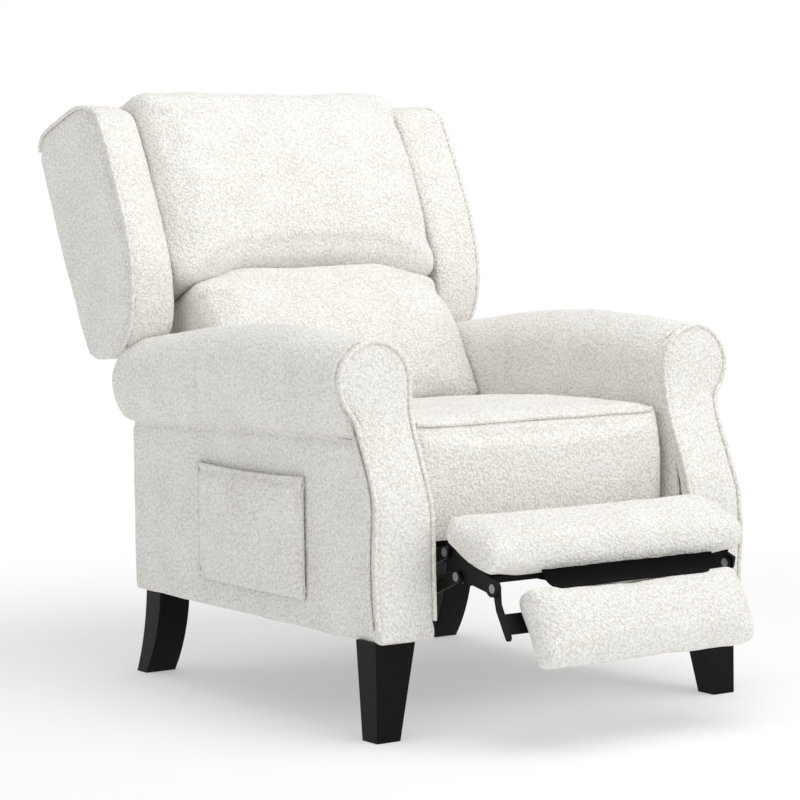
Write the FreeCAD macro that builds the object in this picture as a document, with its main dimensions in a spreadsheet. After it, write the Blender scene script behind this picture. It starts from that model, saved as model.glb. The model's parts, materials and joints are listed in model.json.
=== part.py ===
"""Wingback push-back recliner, in millimetres.

The chair stands on the floor (z = 0) and faces -Y. X = 0 is its plane of symmetry.
It is held as it is used for watching television: back half reclined, footrest half open.
"""
import FreeCAD
import Part
import math
import os

from FreeCAD import Placement, Rotation, Vector

doc = FreeCAD.newDocument("WingbackRecliner")
sheet = doc.addObject("Spreadsheet::Sheet", "Sizes")

# Driving dimensions: alias, value in mm or degrees, what it is
SIZES = [
    # Arms
    ("arm_inner", 250, "inner face of an arm from the middle"),
    ("arm_outer", 345, "outer side panel from the middle"),
    ("arm_bottom", 152, "underside of the arms above the floor"),
    ("arm_front", -398, "rear of the front facing at the floor end"),
    ("arm_rear", 350, "rear end of the side panel"),
    ("panel_pad", 13, "padding and board of the side panel"),
    ("roll_middle", 311, "middle of the arm roll from the middle of the chair"),
    ("roll_radius", 63, "radius of the arm roll at the front"),
    ("roll_height", 537, "middle of the arm roll above the floor, at the front"),
    ("roll_tuck", 88, "middle of the roll down to its outer seam"),
    ("roll_front", -340, "where the roll meets the front facing"),
    ("roll_rear", 368, "rear end of the roll"),
    ("facing_pad", 26, "thickness of the padded front facing"),
    ("facing_low", -426, "front of the facing near the floor"),
    ("facing_high", -365, "front of the facing at the roll"),
    ("facing_flare", 9, "how far the facing stands out past the side panel"),
    ("rail_tall", 80, "height of the lower arm rail"),
    ("timber", 32, "thickness of the arm's timber"),
    # Legs
    ("leg_top_wide", 72, "front leg, width at the top"),
    ("leg_top_deep", 54, "front leg, depth at the top"),
    ("leg_foot_wide", 42, "front leg, width at the floor"),
    ("leg_foot_deep", 40, "front leg, depth at the floor"),
    ("leg_outer", 349, "outer face of a front leg from the middle"),
    ("leg_front", -412, "front face of the front legs"),
    ("rear_leg_wide", 58, "rear leg, width"),
    ("rear_leg_outer", 327, "outer face of a rear leg from the middle"),
    ("rear_leg_top", 290, "front face of a rear leg at its top"),
    ("rear_leg_deep", 52, "rear leg, depth at the top"),
    ("rear_leg_foot", 36, "rear leg, depth at the floor"),
    ("rear_leg_sweep", 57, "how far a rear leg curves back"),
    ("bolt_radius", 4, "hanger bolt of a leg"),
    # Pocket
    ("pocket_front", -215, "front seam of the side pocket"),
    ("pocket_rear", 115, "rear seam of the side pocket"),
    ("pocket_bottom", 195, "bottom seam of the side pocket"),
    ("pocket_top", 387, "gathered mouth of the side pocket"),
    ("pocket_depth", 10, "room inside the pocket"),
    ("pocket_cloth", 3.5, "doubled cloth of the pocket"),
    # Seat
    ("seat_front", -360, "front border of the seat cushion"),
    ("seat_rear", 195, "rear end of the seat cushion"),
    ("seat_gap", 6, "seat cushion to the inside of an arm"),
    ("seat_thick", 82, "seat cushion, underside to top edge"),
    ("seat_crown", 11, "how far the seat swells above its edge"),
    ("lip_bottom", 283, "lower edge of the front border"),
    ("lip_deep", 30, "thickness of the front border"),
    ("tube_y", 60, "cross tube of the seat"),
    ("tube_radius", 12, "its radius"),
    ("box_bottom", 342, "underside of the seat box"),
    ("box_gap", 20, "seat box to the seat plates"),
    ("box_rail", 24, "thickness of the seat box rails"),
    ("box_tall", 44, "height of the seat box rails"),
    ("box_front", -329, "front of the seat box"),
    ("box_rear", 190, "rear of the seat box"),
    ("strap", 2, "thickness of the elastic webbing"),
    ("strap_wide", 50, "width of the elastic webbing"),
    # Planes of the mechanism, from the middle of the chair
    ("base_rail_in", 247, "inner face of a base rail"),
    ("seat_plate_in", 242, "inner face of a seat plate"),
    ("swing_in", 236.5, "inner face of the swing links"),
    ("carrier_in", 230.5, "inner face of the carrier and lift links"),
    ("bracket_in", 224.5, "inner face of an ottoman bracket"),
    ("hinge_arm_in", 218.5, "inner face of a lower pad hinge arm"),
    ("plate", 3, "thickness of the rails and seat plates"),
    ("link_thick", 4, "thickness of the links and brackets"),
    ("link_wide", 18, "width of a link"),
    ("pin_radius", 4, "radius of a pivot pin"),
    ("pin_gap", 0.05, "running clearance of a pin in its hole"),
    ("head_radius", 7, "radius of a pin head"),
    ("head_thick", 1.2, "thickness of a pin head"),
    # Footrest geometry at rest
    ("centre_y", -379, "virtual centre that the upper pad turns about"),
    ("centre_z", 343.5, "its height"),
    ("swing_short", 80.5, "swing link, from its pivot to the carrier pin"),
    ("swing_long", 125.2, "swing link, from its pivot to the lift pin"),
    ("swing_angle", 49.8, "slope of the swing link below the horizontal"),
    ("carrier", 126.3, "carrier link, between swing pin and bracket pin"),
    ("carrier_tail", 44, "carrier link, tail behind the swing pin"),
    ("carrier_angle", 22.1, "slope of the carrier link above the horizontal"),
    ("pad_tilt", 20, "slope of the upper pad"),
    ("pad_edge_y", -447, "rear top edge of the upper pad"),
    ("pad_edge_z", 338, "its height"),
    ("pad_long", 130, "upper pad, front to back"),
    ("pad_thick", 46, "thickness of both pads"),
    ("pad_half", 245, "half width of the upper pad"),
    ("pad_crown", 5, "how far a pad swells"),
    ("low_tilt", 62, "slope of the lower pad"),
    ("low_edge_y", -591, "top edge of the lower pad"),
    ("low_edge_z", 245, "its height"),
    ("low_long", 123, "lower pad, top to bottom"),
    ("low_half", 200, "half width of the lower pad"),
    ("board", 10, "thickness of the pad boards"),
    ("board_inset", 16, "pad edge to board edge"),
    ("low_pivot_along", 125.5, "hinge of the lower pad, along the upper pad"),
    ("low_pivot_under", 60, "hinge of the lower pad, below the upper pad's face"),
    ("torque_radius", 7, "radius of the torque tube"),
    # Back geometry at rest
    ("back_tilt", 23.5, "slope of the back from upright"),
    ("back_y", 472, "datum of the back: lower rear corner of the wings"),
    ("back_z", 542, "its height"),
    ("hinge_y", 165, "back hinge"),
    ("hinge_z", 255, "its height"),
    ("wing_inner", 272, "inner face of a wing from the middle"),
    ("wing_outer", 360, "outer face of a wing from the middle"),
    ("wing_top", 425, "top of a wing above the datum"),
    ("wing_deep", 225, "front edge of a wing in front of the datum"),
    ("back_rear", 15, "rear face of the back behind the datum"),
    ("head_half", 268, "half width of the head cushion"),
    ("head_top", 446, "top of the head cushion above the datum"),
    ("head_bottom", 82, "seam between head and lumbar cushion"),
    ("head_front", 238, "front of the head cushion"),
    ("lumbar_half", 243, "half width of the lumbar cushion"),
    ("lumbar_reach", 214, "lumbar cushion's underside from the back hinge"),
    ("frame_deep", 60, "depth of the back frame rails"),
    ("frame_rail", 22, "thickness of the back frame rails"),
    ("frame_gap", 14, "back frame to the inside of an arm"),
    ("frame_low", -250, "lower end of the back frame below the datum"),
    # Base
    ("rear_rail_y", 306, "front face of the rear cross rail"),
    ("rear_rail_thick", 24, "thickness of the rear cross rail"),
    ("rear_rail_top", 205, "top of the rear cross rail"),
    ("slide_height", 228, "height of the slide studs"),
    ("slide_front", -118, "front slide stud"),
    ("slide_rear", 108, "rear slide stud"),
    ("slide_back", 14, "seat travel to the rear"),
    ("slide_forward", 22, "seat travel to the front"),
    ("stud_radius", 5, "radius of a slide stud"),
    # Sizes that follow from others
    ("seat_half", "=arm_inner - seat_gap", "half width of the seat cushion"),
    ("seat_deck", "=box_bottom + box_tall + strap", "underside of the seat cushion"),
    ("seat_welt", "=seat_deck + seat_thick", "top edge of the seat cushion"),
    ("box_half", "=seat_plate_in - box_gap", "half width of the seat box"),
    ("frame_half", "=arm_inner - frame_gap", "half width of the back frame"),
]

for row, (alias, value, note) in enumerate(SIZES, start=1):
    sheet.set("A%d" % row, note)
    sheet.set("B%d" % row, str(value))
    sheet.setAlias("B%d" % row, alias)
doc.recompute()

PARTS = []
SIDES = (("left", -1), ("right", 1))


def mm(alias):
    """Value of a driving dimension."""
    return float(sheet.get(alias))


def register(thing, label):
    """Name a finished sub-part: its label is also its file's name."""
    thing.Label = label
    PARTS.append(thing)
    return thing


def feature(label, shape, placement=None):
    """Sub-part from a shape made with Part's own functions."""
    thing = doc.addObject("Part::Feature", label)
    thing.Shape = shape
    if placement is not None:
        thing.Placement = placement
    return register(thing, label)


def hidden_box(name, length, width, height, place):
    """Part::Box whose sizes and place are bound to cells of the sheet."""
    thing = doc.addObject("Part::Box", name)
    for key, text in (("Length", length), ("Width", width), ("Height", height)):
        thing.setExpression(key, text)
    for key, text in zip("xyz", place):
        thing.setExpression("Placement.Base." + key, text)
    return thing


def box(label, length, width, height, place):
    """Sub-part that is one plain board or bar."""
    return register(hidden_box(label, length, width, height, place), label)


def fused(label, things):
    """Sub-part glued or welded from several solids."""
    thing = doc.addObject("Part::MultiFuse", label)
    thing.Shapes = things
    thing.Refine = True
    return register(thing, label)


def side_x(side, inner, thick):
    """Least X of a plate whose inner face is given from the middle."""
    return mm(inner) if side > 0 else -mm(inner) - mm(thick)


def wire(points, to_space):
    """Closed wire. Each step is an end point, or a middle and an end point of an arc."""
    start = points[0]
    edges = []
    here = to_space(*start)
    for step in points[1:] + [start]:
        if isinstance(step[0], tuple):
            middle, end = to_space(*step[0]), to_space(*step[1])
            edges.append(Part.Arc(here, middle, end).toShape())
        else:
            end = to_space(*step)
            if end.distanceToPoint(here) > 1e-6:
                edges.append(Part.makeLine(here, end))
        here = end
    return Part.Wire(edges)


def prism_x(points, low, high):
    """Outline in the YZ plane, extruded along X."""
    outline = wire(points, lambda y, z: Vector(low, y, z))
    return Part.Face(outline).extrude(Vector(high - low, 0, 0))


def prism_y(points, low, high):
    """Outline in the XZ plane, extruded along Y."""
    outline = wire(points, lambda x, z: Vector(x, low, z))
    return Part.Face(outline).extrude(Vector(0, high - low, 0))


def block(x_range, y_range, z_range):
    """Box between three pairs of limits."""
    corner = Vector(x_range[0], y_range[0], z_range[0])
    return Part.makeBox(x_range[1] - x_range[0], y_range[1] - y_range[0],
                        z_range[1] - z_range[0], corner)


def rod(start, end, radius):
    """Round bar between two points."""
    axis = end.sub(start)
    return Part.makeCylinder(radius, axis.Length, start, axis)


def mirrored(shape, side):
    """The shape as made for +X, or its mirror image for -X."""
    return shape if side > 0 else shape.mirror(Vector(0, 0, 0), Vector(1, 0, 0))


def turned(radius, degrees):
    """Vector in the YZ plane: degrees are turned from +Y towards +Z."""
    angle = math.radians(degrees)
    return Vector(0, radius * math.cos(angle), radius * math.sin(angle))


def rounded_ends(half, draw, reach):
    """Stations across a cushion: place, and how far its section is drawn in there.

    The outline seen from the front is a quarter ellipse at each side: reach wide, draw high.
    """
    places = [0.0, 0.14, 0.45, 1.0]
    edge = [(half - reach * share, draw * (1 - math.sqrt(1 - (1 - share) ** 2))) for share in places]
    middle = [(half * 0.45, 0.0), (0.0, 0.0)]
    right = edge + middle
    left = [(-x, inset) for x, inset in right[:-1]]
    return left + right[::-1]


def loft(sections):
    """Closed solid through sections, straight from each to the next."""
    return Part.makeLoft(sections, True, True)


# Arms

def roll_section(y, top, shrink):
    """Section of the arm roll: round top, straight inner side, lower side tucked in to the side panel."""
    radius = mm("roll_radius") - shrink
    middle_x = mm("roll_middle")
    middle_z = mm("roll_height") - shrink * 0.6
    crest = mm("roll_height") + top
    rise = crest - middle_z
    seam = min(mm("roll_height") - mm("roll_tuck") - max(0, y + 200) * 0.025, crest - 30) + shrink * 1.5
    foot = mm("arm_outer") - 1 - shrink
    inner, outer = middle_x - radius, middle_x + radius
    diagonal = math.sqrt(0.5)
    bulge = (foot + (outer - foot) * 0.72, seam + (middle_z - seam) * 0.4)
    return wire([(inner, seam), (foot, seam), (bulge, (outer, middle_z)),
                 ((middle_x + radius * diagonal, middle_z + rise * diagonal), (middle_x, crest)),
                 ((middle_x - radius * diagonal, middle_z + rise * diagonal), (inner, middle_z))],
                lambda x, z: Vector(x, y, z))


def arm_roll():
    """Padded roll on top of an arm: a shallow arch that is rounded off at its rear end."""
    front, rear = mm("roll_front") - 20, mm("roll_rear")
    radius = mm("roll_radius")
    stations = [(front, radius + 4, 0), (-270, radius + 11, 0), (-126, radius + 20, 0), (-20, radius + 19, 0),
                (80, radius + 13, 0), (180, radius + 4, 0), (260, radius - 7, 0), (rear - 56, radius - 22, 1),
                (rear - 28, radius - 42, 6), (rear - 9, radius - 64, 16), (rear, radius - 86, 28)]
    return loft([roll_section(y, top, shrink) for y, top, shrink in stations])


def facing_curve(set_back):
    """S-curve of an arm's front, seen from the side, moved back by set_back."""
    low, high = mm("facing_low") + set_back, mm("facing_high") + set_back
    middle = (low + high) / 2
    top, bottom = 610, mm("arm_bottom")
    return [(low, bottom), (low, 320), ((low + 7, 375), (middle, 418)),
            ((high - 7, 462), (high, 515)), (high, top)]


def behind_facing(set_back):
    """Everything behind the S-curve."""
    curve = facing_curve(set_back)
    far = 500
    return prism_x(curve + [(far, curve[-1][1]), (far, curve[0][1])], 0, 420)


def facing_outline():
    """Outline of an arm's front, seen from the front."""
    radius = mm("roll_radius") + 2
    middle_x, middle_z = mm("roll_middle"), mm("roll_height")
    inner = mm("arm_inner") - 1
    outer = mm("arm_outer")
    flare = outer + mm("facing_flare")
    neck_x = middle_x + radius * math.sin(math.radians(42))
    neck_z = middle_z - radius * math.cos(math.radians(42))
    return [(inner, mm("arm_bottom")), (outer + 3, mm("arm_bottom")),
            ((flare + 1, 225), (flare, 320)), ((outer + 1, 415), (neck_x - 4, neck_z)),
            ((middle_x + radius, middle_z), (middle_x + radius * 0.7071, middle_z + radius * 0.7071)),
            ((middle_x, middle_z + radius), (middle_x - radius * 0.7071, middle_z + radius * 0.7071)),
            ((middle_x - radius, middle_z), (inner, middle_z - radius * 0.45))]


def arm_facing():
    """Padded front facing of an arm: the front outline cut to the S-curve."""
    front = prism_y(facing_outline(), mm("facing_low") - 40, mm("facing_high") + 60)
    pad = front.common(behind_facing(0)).cut(behind_facing(mm("facing_pad")))
    return pad


def arm_timber(side):
    """Timber frame inside an arm: rails along the arm joined by two posts."""
    thick, tall = mm("timber"), mm("rail_tall")
    inner = mm("arm_inner")
    front = mm("facing_low") + mm("facing_pad")
    rear = mm("arm_rear") - mm("panel_pad")
    bottom = mm("arm_bottom")
    top_low, top_high = mm("roll_height") - 34, mm("roll_height") + 4
    outer = mm("arm_outer") - mm("panel_pad")
    shape = block((inner, outer), (front, rear), (bottom, bottom + 22))
    shape = shape.fuse(block((inner, inner + thick), (front, rear), (bottom, bottom + tall)))
    post_x = (outer - thick - 16, outer - 16)
    for low in (mm("roll_front") + 6, rear - 46):
        shape = shape.fuse(block(post_x, (low, low + 46), (bottom, top_low)))
    shape = shape.fuse(block((post_x[0] - 22, post_x[1] + 6), (mm("roll_front") + 6, rear - 2),
                             (top_low, top_high)))
    return mirrored(shape.removeSplitter(), side)


def arm_cover(side):
    """Upholstered arm: side panel, rear panel, inner panel and roll around the timber."""
    inner, outer, pad = mm("arm_inner"), mm("arm_outer"), mm("panel_pad")
    bottom, rear = mm("arm_bottom"), mm("arm_rear")
    high = mm("roll_height") - 10
    front = mm("facing_low")
    shape = block((outer - pad, outer), (front, rear), (bottom, high))
    shape = shape.fuse(block((inner, outer), (rear - pad, rear), (bottom + mm("rail_tall") + 4, high)))
    shape = shape.fuse(block((inner, inner + pad), (front, rear), (mm("box_bottom"), high)))
    shape = shape.fuse(arm_roll())
    shape = shape.common(behind_facing(mm("facing_pad")))
    return mirrored(shape, side).cut(arm_timber(side))


def arms():
    for name, side in SIDES:
        feature(name + "_arm_frame", arm_timber(side))
        feature(name + "_arm_cover", arm_cover(side))
        feature(name + "_arm_facing", mirrored(arm_facing(), side))


def side_pocket():
    """Flat cloth pocket on the left side panel, open at its top."""
    skin, depth = mm("pocket_cloth"), mm("pocket_depth")
    wall = -mm("arm_outer")
    front, rear = mm("pocket_front"), mm("pocket_rear")
    low, high = mm("pocket_bottom"), mm("pocket_top")
    bulge = depth + skin
    outside = prism_z([(wall, front), (wall - skin, front), ((wall - bulge, front + 8), (wall - bulge, front + 40)),
                       (wall - bulge, rear - 40), ((wall - bulge, rear - 8), (wall - skin, rear)), (wall, rear)],
                      low, high)
    inside = block((wall - depth, wall), (front + 14, rear - 14), (low + 8, high + 1))
    feature("side_pocket", outside.cut(inside))


def prism_z(points, low, high):
    """Outline in the XY plane, extruded along Z."""
    outline = wire(points, lambda x, y: Vector(x, y, low))
    return Part.Face(outline).extrude(Vector(0, 0, high - low))


# Legs

def front_leg(name, side):
    """Square leg that tapers to its foot, lofted between two sketches."""
    body = doc.addObject("PartDesign::Body", name)
    planes = {item.Role: item for item in body.Origin.OriginFeatures}
    sketches = []
    for level, wide, deep in (("foot", "leg_foot_wide", "leg_foot_deep"),
                              ("top", "leg_top_wide", "leg_top_deep")):
        sketch = body.newObject("Sketcher::SketchObject", name + "_" + level)
        sketch.AttachmentSupport = [(planes["XY_Plane"], "")]
        sketch.MapMode = "FlatFace"
        if level == "top":
            sketch.setExpression("AttachmentOffset.Base.z", "Sizes.arm_bottom")
        rectangle(sketch, wide, deep, side)
        sketches.append(sketch)
    loft = body.newObject("PartDesign::AdditiveLoft", name + "_taper")
    loft.Profile = sketches[0]
    loft.Sections = [sketches[1]]
    body.Placement = Placement(Vector(side * mm("leg_outer"), mm("leg_front"), 0), Rotation())
    return register(body, name)


def rectangle(sketch, wide, deep, side):
    """Rectangle whose outer front corner is the sketch's origin, with bound sizes."""
    across, along = -side * mm(wide), mm(deep)
    corners = [(0, 0), (across, 0), (across, along), (0, along)]
    for index in range(4):
        start, end = corners[index], corners[(index + 1) % 4]
        sketch.addGeometry(Part.LineSegment(Vector(*start, 0), Vector(*end, 0)), False)
    import Sketcher
    for index in range(4):
        sketch.addConstraint(Sketcher.Constraint("Coincident", index, 2, (index + 1) % 4, 1))
    sketch.addConstraint(Sketcher.Constraint("Horizontal", 0))
    sketch.addConstraint(Sketcher.Constraint("Horizontal", 2))
    sketch.addConstraint(Sketcher.Constraint("Vertical", 1))
    sketch.addConstraint(Sketcher.Constraint("Vertical", 3))
    sketch.addConstraint(Sketcher.Constraint("Coincident", 0, 1, -1, 1))
    wide_rule = sketch.addConstraint(Sketcher.Constraint("Distance", 0, mm(wide)))
    deep_rule = sketch.addConstraint(Sketcher.Constraint("Distance", 1, mm(deep)))
    sketch.setExpression("Constraints[%d]" % wide_rule, "Sizes." + wide)
    sketch.setExpression("Constraints[%d]" % deep_rule, "Sizes." + deep)


def rear_leg(name, side):
    """Sabre leg: its side view is two arcs that curve back to the foot."""
    top, deep = mm("rear_leg_top"), mm("rear_leg_deep")
    foot, sweep, height = mm("rear_leg_foot"), mm("rear_leg_sweep"), mm("arm_bottom")
    points = [(top, height), ((top + sweep * 0.28, height * 0.5), (top + sweep, 0)),
              (top + sweep + foot, 0), ((top + deep + (sweep + foot - deep) * 0.3, height * 0.5),
                                        (top + deep, height))]
    outer = mm("rear_leg_outer")
    shape = prism_x(points, outer - mm("rear_leg_wide"), outer)
    upright = [edge for edge in shape.Edges
               if abs(edge.BoundBox.ZLength - height) < 1]
    shape = shape.makeChamfer(2, upright)
    feature(name, mirrored(shape, side))


def drill(names, tools):
    """Cut the fasteners' holes out of the named sub-parts."""
    for name in names:
        blank = next(part for part in PARTS if part.Label == name)
        PARTS.remove(blank)
        blank.Label = name + "_blank"
        cut = doc.addObject("Part::Cut", name)
        cut.Base = blank
        cut.Tool = tools
        register(cut, name)


def fasten(label, rods, names):
    """Group of like fasteners, and their holes in the pieces that they join."""
    group = feature(label, Part.makeCompound(rods))
    drill(names, group)


def legs():
    bolts = []
    reach = 31
    bottom = mm("arm_bottom")
    for name, side in SIDES:
        front_leg("front_" + name + "_leg", side)
        rear_leg("rear_" + name + "_leg", side)
        front = (mm("leg_outer") - mm("leg_top_wide") / 2, mm("leg_front") + mm("leg_top_deep") / 2)
        rear = (mm("rear_leg_outer") - mm("rear_leg_wide") / 2, mm("rear_leg_top") + mm("rear_leg_deep") / 2)
        for x, y in (front, rear):
            bolts.append(rod(Vector(side * x, y, bottom - reach), Vector(side * x, y, bottom + 22), mm("bolt_radius")))
    fasten("leg_bolts", bolts, ["left_arm_frame", "right_arm_frame", "front_left_leg", "front_right_leg",
                                "rear_left_leg", "rear_right_leg"])


# Base rails and cross members

def base_members():
    half = mm("arm_inner")
    rail_top, low = mm("rear_rail_top"), mm("arm_bottom") + 3
    box("rear_cross_rail", "2 * Sizes.arm_inner", "Sizes.rear_rail_thick", "Sizes.rear_rail_top - Sizes.arm_bottom - 3",
        ("-Sizes.arm_inner", "Sizes.rear_rail_y", "Sizes.arm_bottom + 3"))
    box("rear_panel", "2 * Sizes.arm_inner", "Sizes.arm_rear - Sizes.rear_rail_y - Sizes.rear_rail_thick",
        "Sizes.rear_rail_top - Sizes.arm_bottom", ("-Sizes.arm_inner", "Sizes.rear_rail_y + Sizes.rear_rail_thick",
                                                   "Sizes.arm_bottom"))
    tube = block((-half, half), (-40, -15), (low + 2, low + 27))
    bore = block((-half, half), (-38, -17), (low + 4, low + 25))
    feature("base_cross_tube", tube.cut(bore))
    for name, side in SIDES:
        low_y, high_y = mm("slide_front") - 50, mm("slide_rear") + 60
        height = mm("slide_height")
        x = side_x(side, "base_rail_in", "plate")
        plate = block((x, x + mm("plate")), (low_y, high_y), (height - 22, height + 22))
        feature(name + "_base_rail", plate)
    studs = []
    for _, side in SIDES:
        for y in (mm("slide_front"), mm("slide_rear")):
            inner = mm("seat_plate_in") - 1.6
            shank = rod(Vector(side * inner, y, mm("slide_height")),
                        Vector(side * mm("base_rail_in"), y, mm("slide_height")), mm("stud_radius"))
            head = rod(Vector(side * (inner - 2.2), y, mm("slide_height")),
                       Vector(side * inner, y, mm("slide_height")), mm("stud_radius") + 4)
            washer = rod(Vector(side * (mm("base_rail_in") - 1.4), y, mm("slide_height")),
                         Vector(side * mm("base_rail_in"), y, mm("slide_height")), mm("stud_radius") + 3)
            studs.append(shank.fuse([head, washer]).removeSplitter())
    feature("slide_studs", Part.makeCompound(studs))


def rail_screws():
    """Coach screws that hold the steel rails to the arms."""
    screws = []
    face = mm("base_rail_in")
    height = mm("slide_height") - 12
    for _, side in SIDES:
        for y in (mm("slide_front") - 36, mm("slide_rear") + 40):
            head = rod(Vector(side * (face - 1.6), y, height), Vector(side * face, y, height), 7)
            shank = rod(Vector(side * face, y, height), Vector(side * (mm("arm_inner") + 24), y, height), 3)
            screws.append(shank.fuse(head).removeSplitter())
    fasten("rail_screws", screws, ["left_base_rail", "right_base_rail", "left_arm_frame", "right_arm_frame"])


# Places of the footrest pivots, in the YZ plane

def footrest_places():
    """The footrest is a double parallelogram.

    The bracket turns as the swing link does, about a centre that has no pin there.
    """
    centre = Vector(0, mm("centre_y"), mm("centre_z"))
    down = turned(1, 180 + mm("swing_angle"))
    ahead = turned(1, 180 - mm("carrier_angle"))
    bracket_short = centre + down * mm("swing_short")
    bracket_long = centre + down * mm("swing_long")
    pivot = centre - ahead * mm("carrier")
    carrier_pin = pivot + down * mm("swing_short")
    lift_pin = pivot + down * mm("swing_long")
    tail_pin = carrier_pin - ahead * mm("carrier_tail")
    rear_pivot = pivot - ahead * mm("carrier_tail")
    along = turned(1, 180 + mm("pad_tilt"))
    under = turned(1, mm("pad_tilt") - 90)
    low_pivot = (Vector(0, mm("pad_edge_y"), mm("pad_edge_z")) + along * mm("low_pivot_along")
                 + under * mm("low_pivot_under"))
    return {"pivot": pivot, "carrier_pin": carrier_pin, "lift_pin": lift_pin, "tail_pin": tail_pin,
            "rear_pivot": rear_pivot, "bracket_short": bracket_short, "bracket_long": bracket_long,
            "low_pivot": low_pivot}


PLACES = footrest_places()


def link(label, start, ends, inner):
    """Flat link with round ends: a sketched slot with a hole for each pin."""
    import Sketcher
    length = max(end.sub(start).Length for end in ends)
    body = doc.addObject("PartDesign::Body", label)
    planes = {item.Role: item for item in body.Origin.OriginFeatures}
    sketch = body.newObject("Sketcher::SketchObject", label + "_outline")
    sketch.AttachmentSupport = [(planes["YZ_Plane"], "")]
    sketch.MapMode = "FlatFace"
    radius = mm("link_wide") / 2
    normal = Vector(0, 0, 1)
    sketch.addGeometry(Part.ArcOfCircle(Part.Circle(Vector(0, 0, 0), normal, radius),
                                        math.pi / 2, 3 * math.pi / 2), False)
    sketch.addGeometry(Part.ArcOfCircle(Part.Circle(Vector(length, 0, 0), normal, radius),
                                        -math.pi / 2, math.pi / 2), False)
    sketch.addGeometry(Part.LineSegment(Vector(0, radius, 0), Vector(length, radius, 0)), False)
    sketch.addGeometry(Part.LineSegment(Vector(0, -radius, 0), Vector(length, -radius, 0)), False)
    for first, second in (((0, 1), (2, 1)), ((0, 2), (3, 1)), ((1, 2), (2, 2)), ((1, 1), (3, 2))):
        sketch.addConstraint(Sketcher.Constraint("Coincident", *first, *second))
    sketch.addConstraint(Sketcher.Constraint("Coincident", 0, 3, -1, 1))
    sketch.addConstraint(Sketcher.Constraint("Horizontal", 2))
    sketch.addConstraint(Sketcher.Constraint("Horizontal", 3))
    rule = sketch.addConstraint(Sketcher.Constraint("Radius", 0, radius))
    sketch.setExpression("Constraints[%d]" % rule, "Sizes.link_wide / 2")
    for centre in [start] + ends:
        reach = centre.sub(start).Length
        hole = Part.Circle(Vector(reach, 0, 0), normal, mm("pin_radius") + mm("pin_gap"))
        index = sketch.addGeometry(hole, False)
        rule = sketch.addConstraint(Sketcher.Constraint("Radius", index, mm("pin_radius") + mm("pin_gap")))
        sketch.setExpression("Constraints[%d]" % rule, "Sizes.pin_radius + Sizes.pin_gap")
    pad = body.newObject("PartDesign::Pad", label + "_plate")
    pad.Profile = sketch
    pad.setExpression("Length", "Sizes.link_thick")
    far = max(ends, key=lambda end: end.sub(start).Length).sub(start)
    angle = math.degrees(math.atan2(far.z, far.y))
    body.Placement = Placement(Vector(inner, start.y, start.z), Rotation(Vector(1, 0, 0), angle))
    return register(body, label)


def footrest_links():
    for name, side in SIDES:
        swing_x = side_x(side, "swing_in", "link_thick")
        carrier_x = side_x(side, "carrier_in", "link_thick")
        link(name + "_swing_link", PLACES["pivot"], [PLACES["carrier_pin"], PLACES["lift_pin"]], swing_x)
        link(name + "_rear_swing_link", PLACES["rear_pivot"], [PLACES["tail_pin"]], swing_x)
        link(name + "_carrier_link", PLACES["tail_pin"],
             [PLACES["carrier_pin"], PLACES["bracket_short"]], carrier_x)
        link(name + "_lift_link", PLACES["lift_pin"], [PLACES["bracket_long"]], carrier_x)


def pin(side, place, inner, outer):
    """Riveted pin with a head at each end, through everything between two planes."""
    low = Vector(side * inner, place.y, place.z)
    high = Vector(side * outer, place.y, place.z)
    thick = Vector(side * mm("head_thick"), 0, 0)
    shank = rod(low, high, mm("pin_radius"))
    heads = [rod(low - thick, low, mm("head_radius")), rod(high, high + thick, mm("head_radius"))]
    return shank.fuse(heads).removeSplitter()


def footrest_pins():
    bar, gap = mm("link_thick"), 0.2
    seat_pins, swing_pins, tail_pins, bracket_pins = [], [], [], []
    for _, side in SIDES:
        swing, carrier, bracket = mm("swing_in"), mm("carrier_in"), mm("bracket_in")
        arm = mm("hinge_arm_in")
        plate_out = mm("seat_plate_in") + mm("plate")
        for key in ("pivot", "rear_pivot"):
            seat_pins.append(pin(side, PLACES[key], swing - gap, plate_out))
        for key in ("carrier_pin", "lift_pin"):
            swing_pins.append(pin(side, PLACES[key], carrier - gap, swing + bar))
        tail_pins.append(pin(side, PLACES["tail_pin"], carrier, swing + bar + 0.1))
        for key in ("bracket_short", "bracket_long"):
            bracket_pins.append(pin(side, PLACES[key], bracket, carrier + bar + gap))
        bracket_pins.append(pin(side, PLACES["low_pivot"], arm - gap, bracket + bar))
    feature("seat_pivot_pins", Part.makeCompound(seat_pins))
    feature("swing_link_pins", Part.makeCompound(swing_pins))
    feature("carrier_tail_pins", Part.makeCompound(tail_pins))
    feature("bracket_pins", Part.makeCompound(bracket_pins))


def torque_tube():
    """Round tube that turns with the rear swing links and keeps both sides together."""
    place = PLACES["rear_pivot"]
    half = mm("swing_in") - mm("head_thick") - 0.5
    lever = Vector(0, place.y, place.z) + PLACES["tail_pin"].sub(place) * 0.42
    tube = rod(Vector(-half, lever.y, lever.z), Vector(half, lever.y, lever.z), mm("torque_radius"))
    ends = [rod(Vector(side * half, lever.y, lever.z), Vector(side * mm("swing_in"), lever.y, lever.z),
                mm("torque_radius") - 1) for _, side in SIDES]
    feature("torque_tube", tube.fuse(ends).removeSplitter())


# Pads of the footrest

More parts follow.
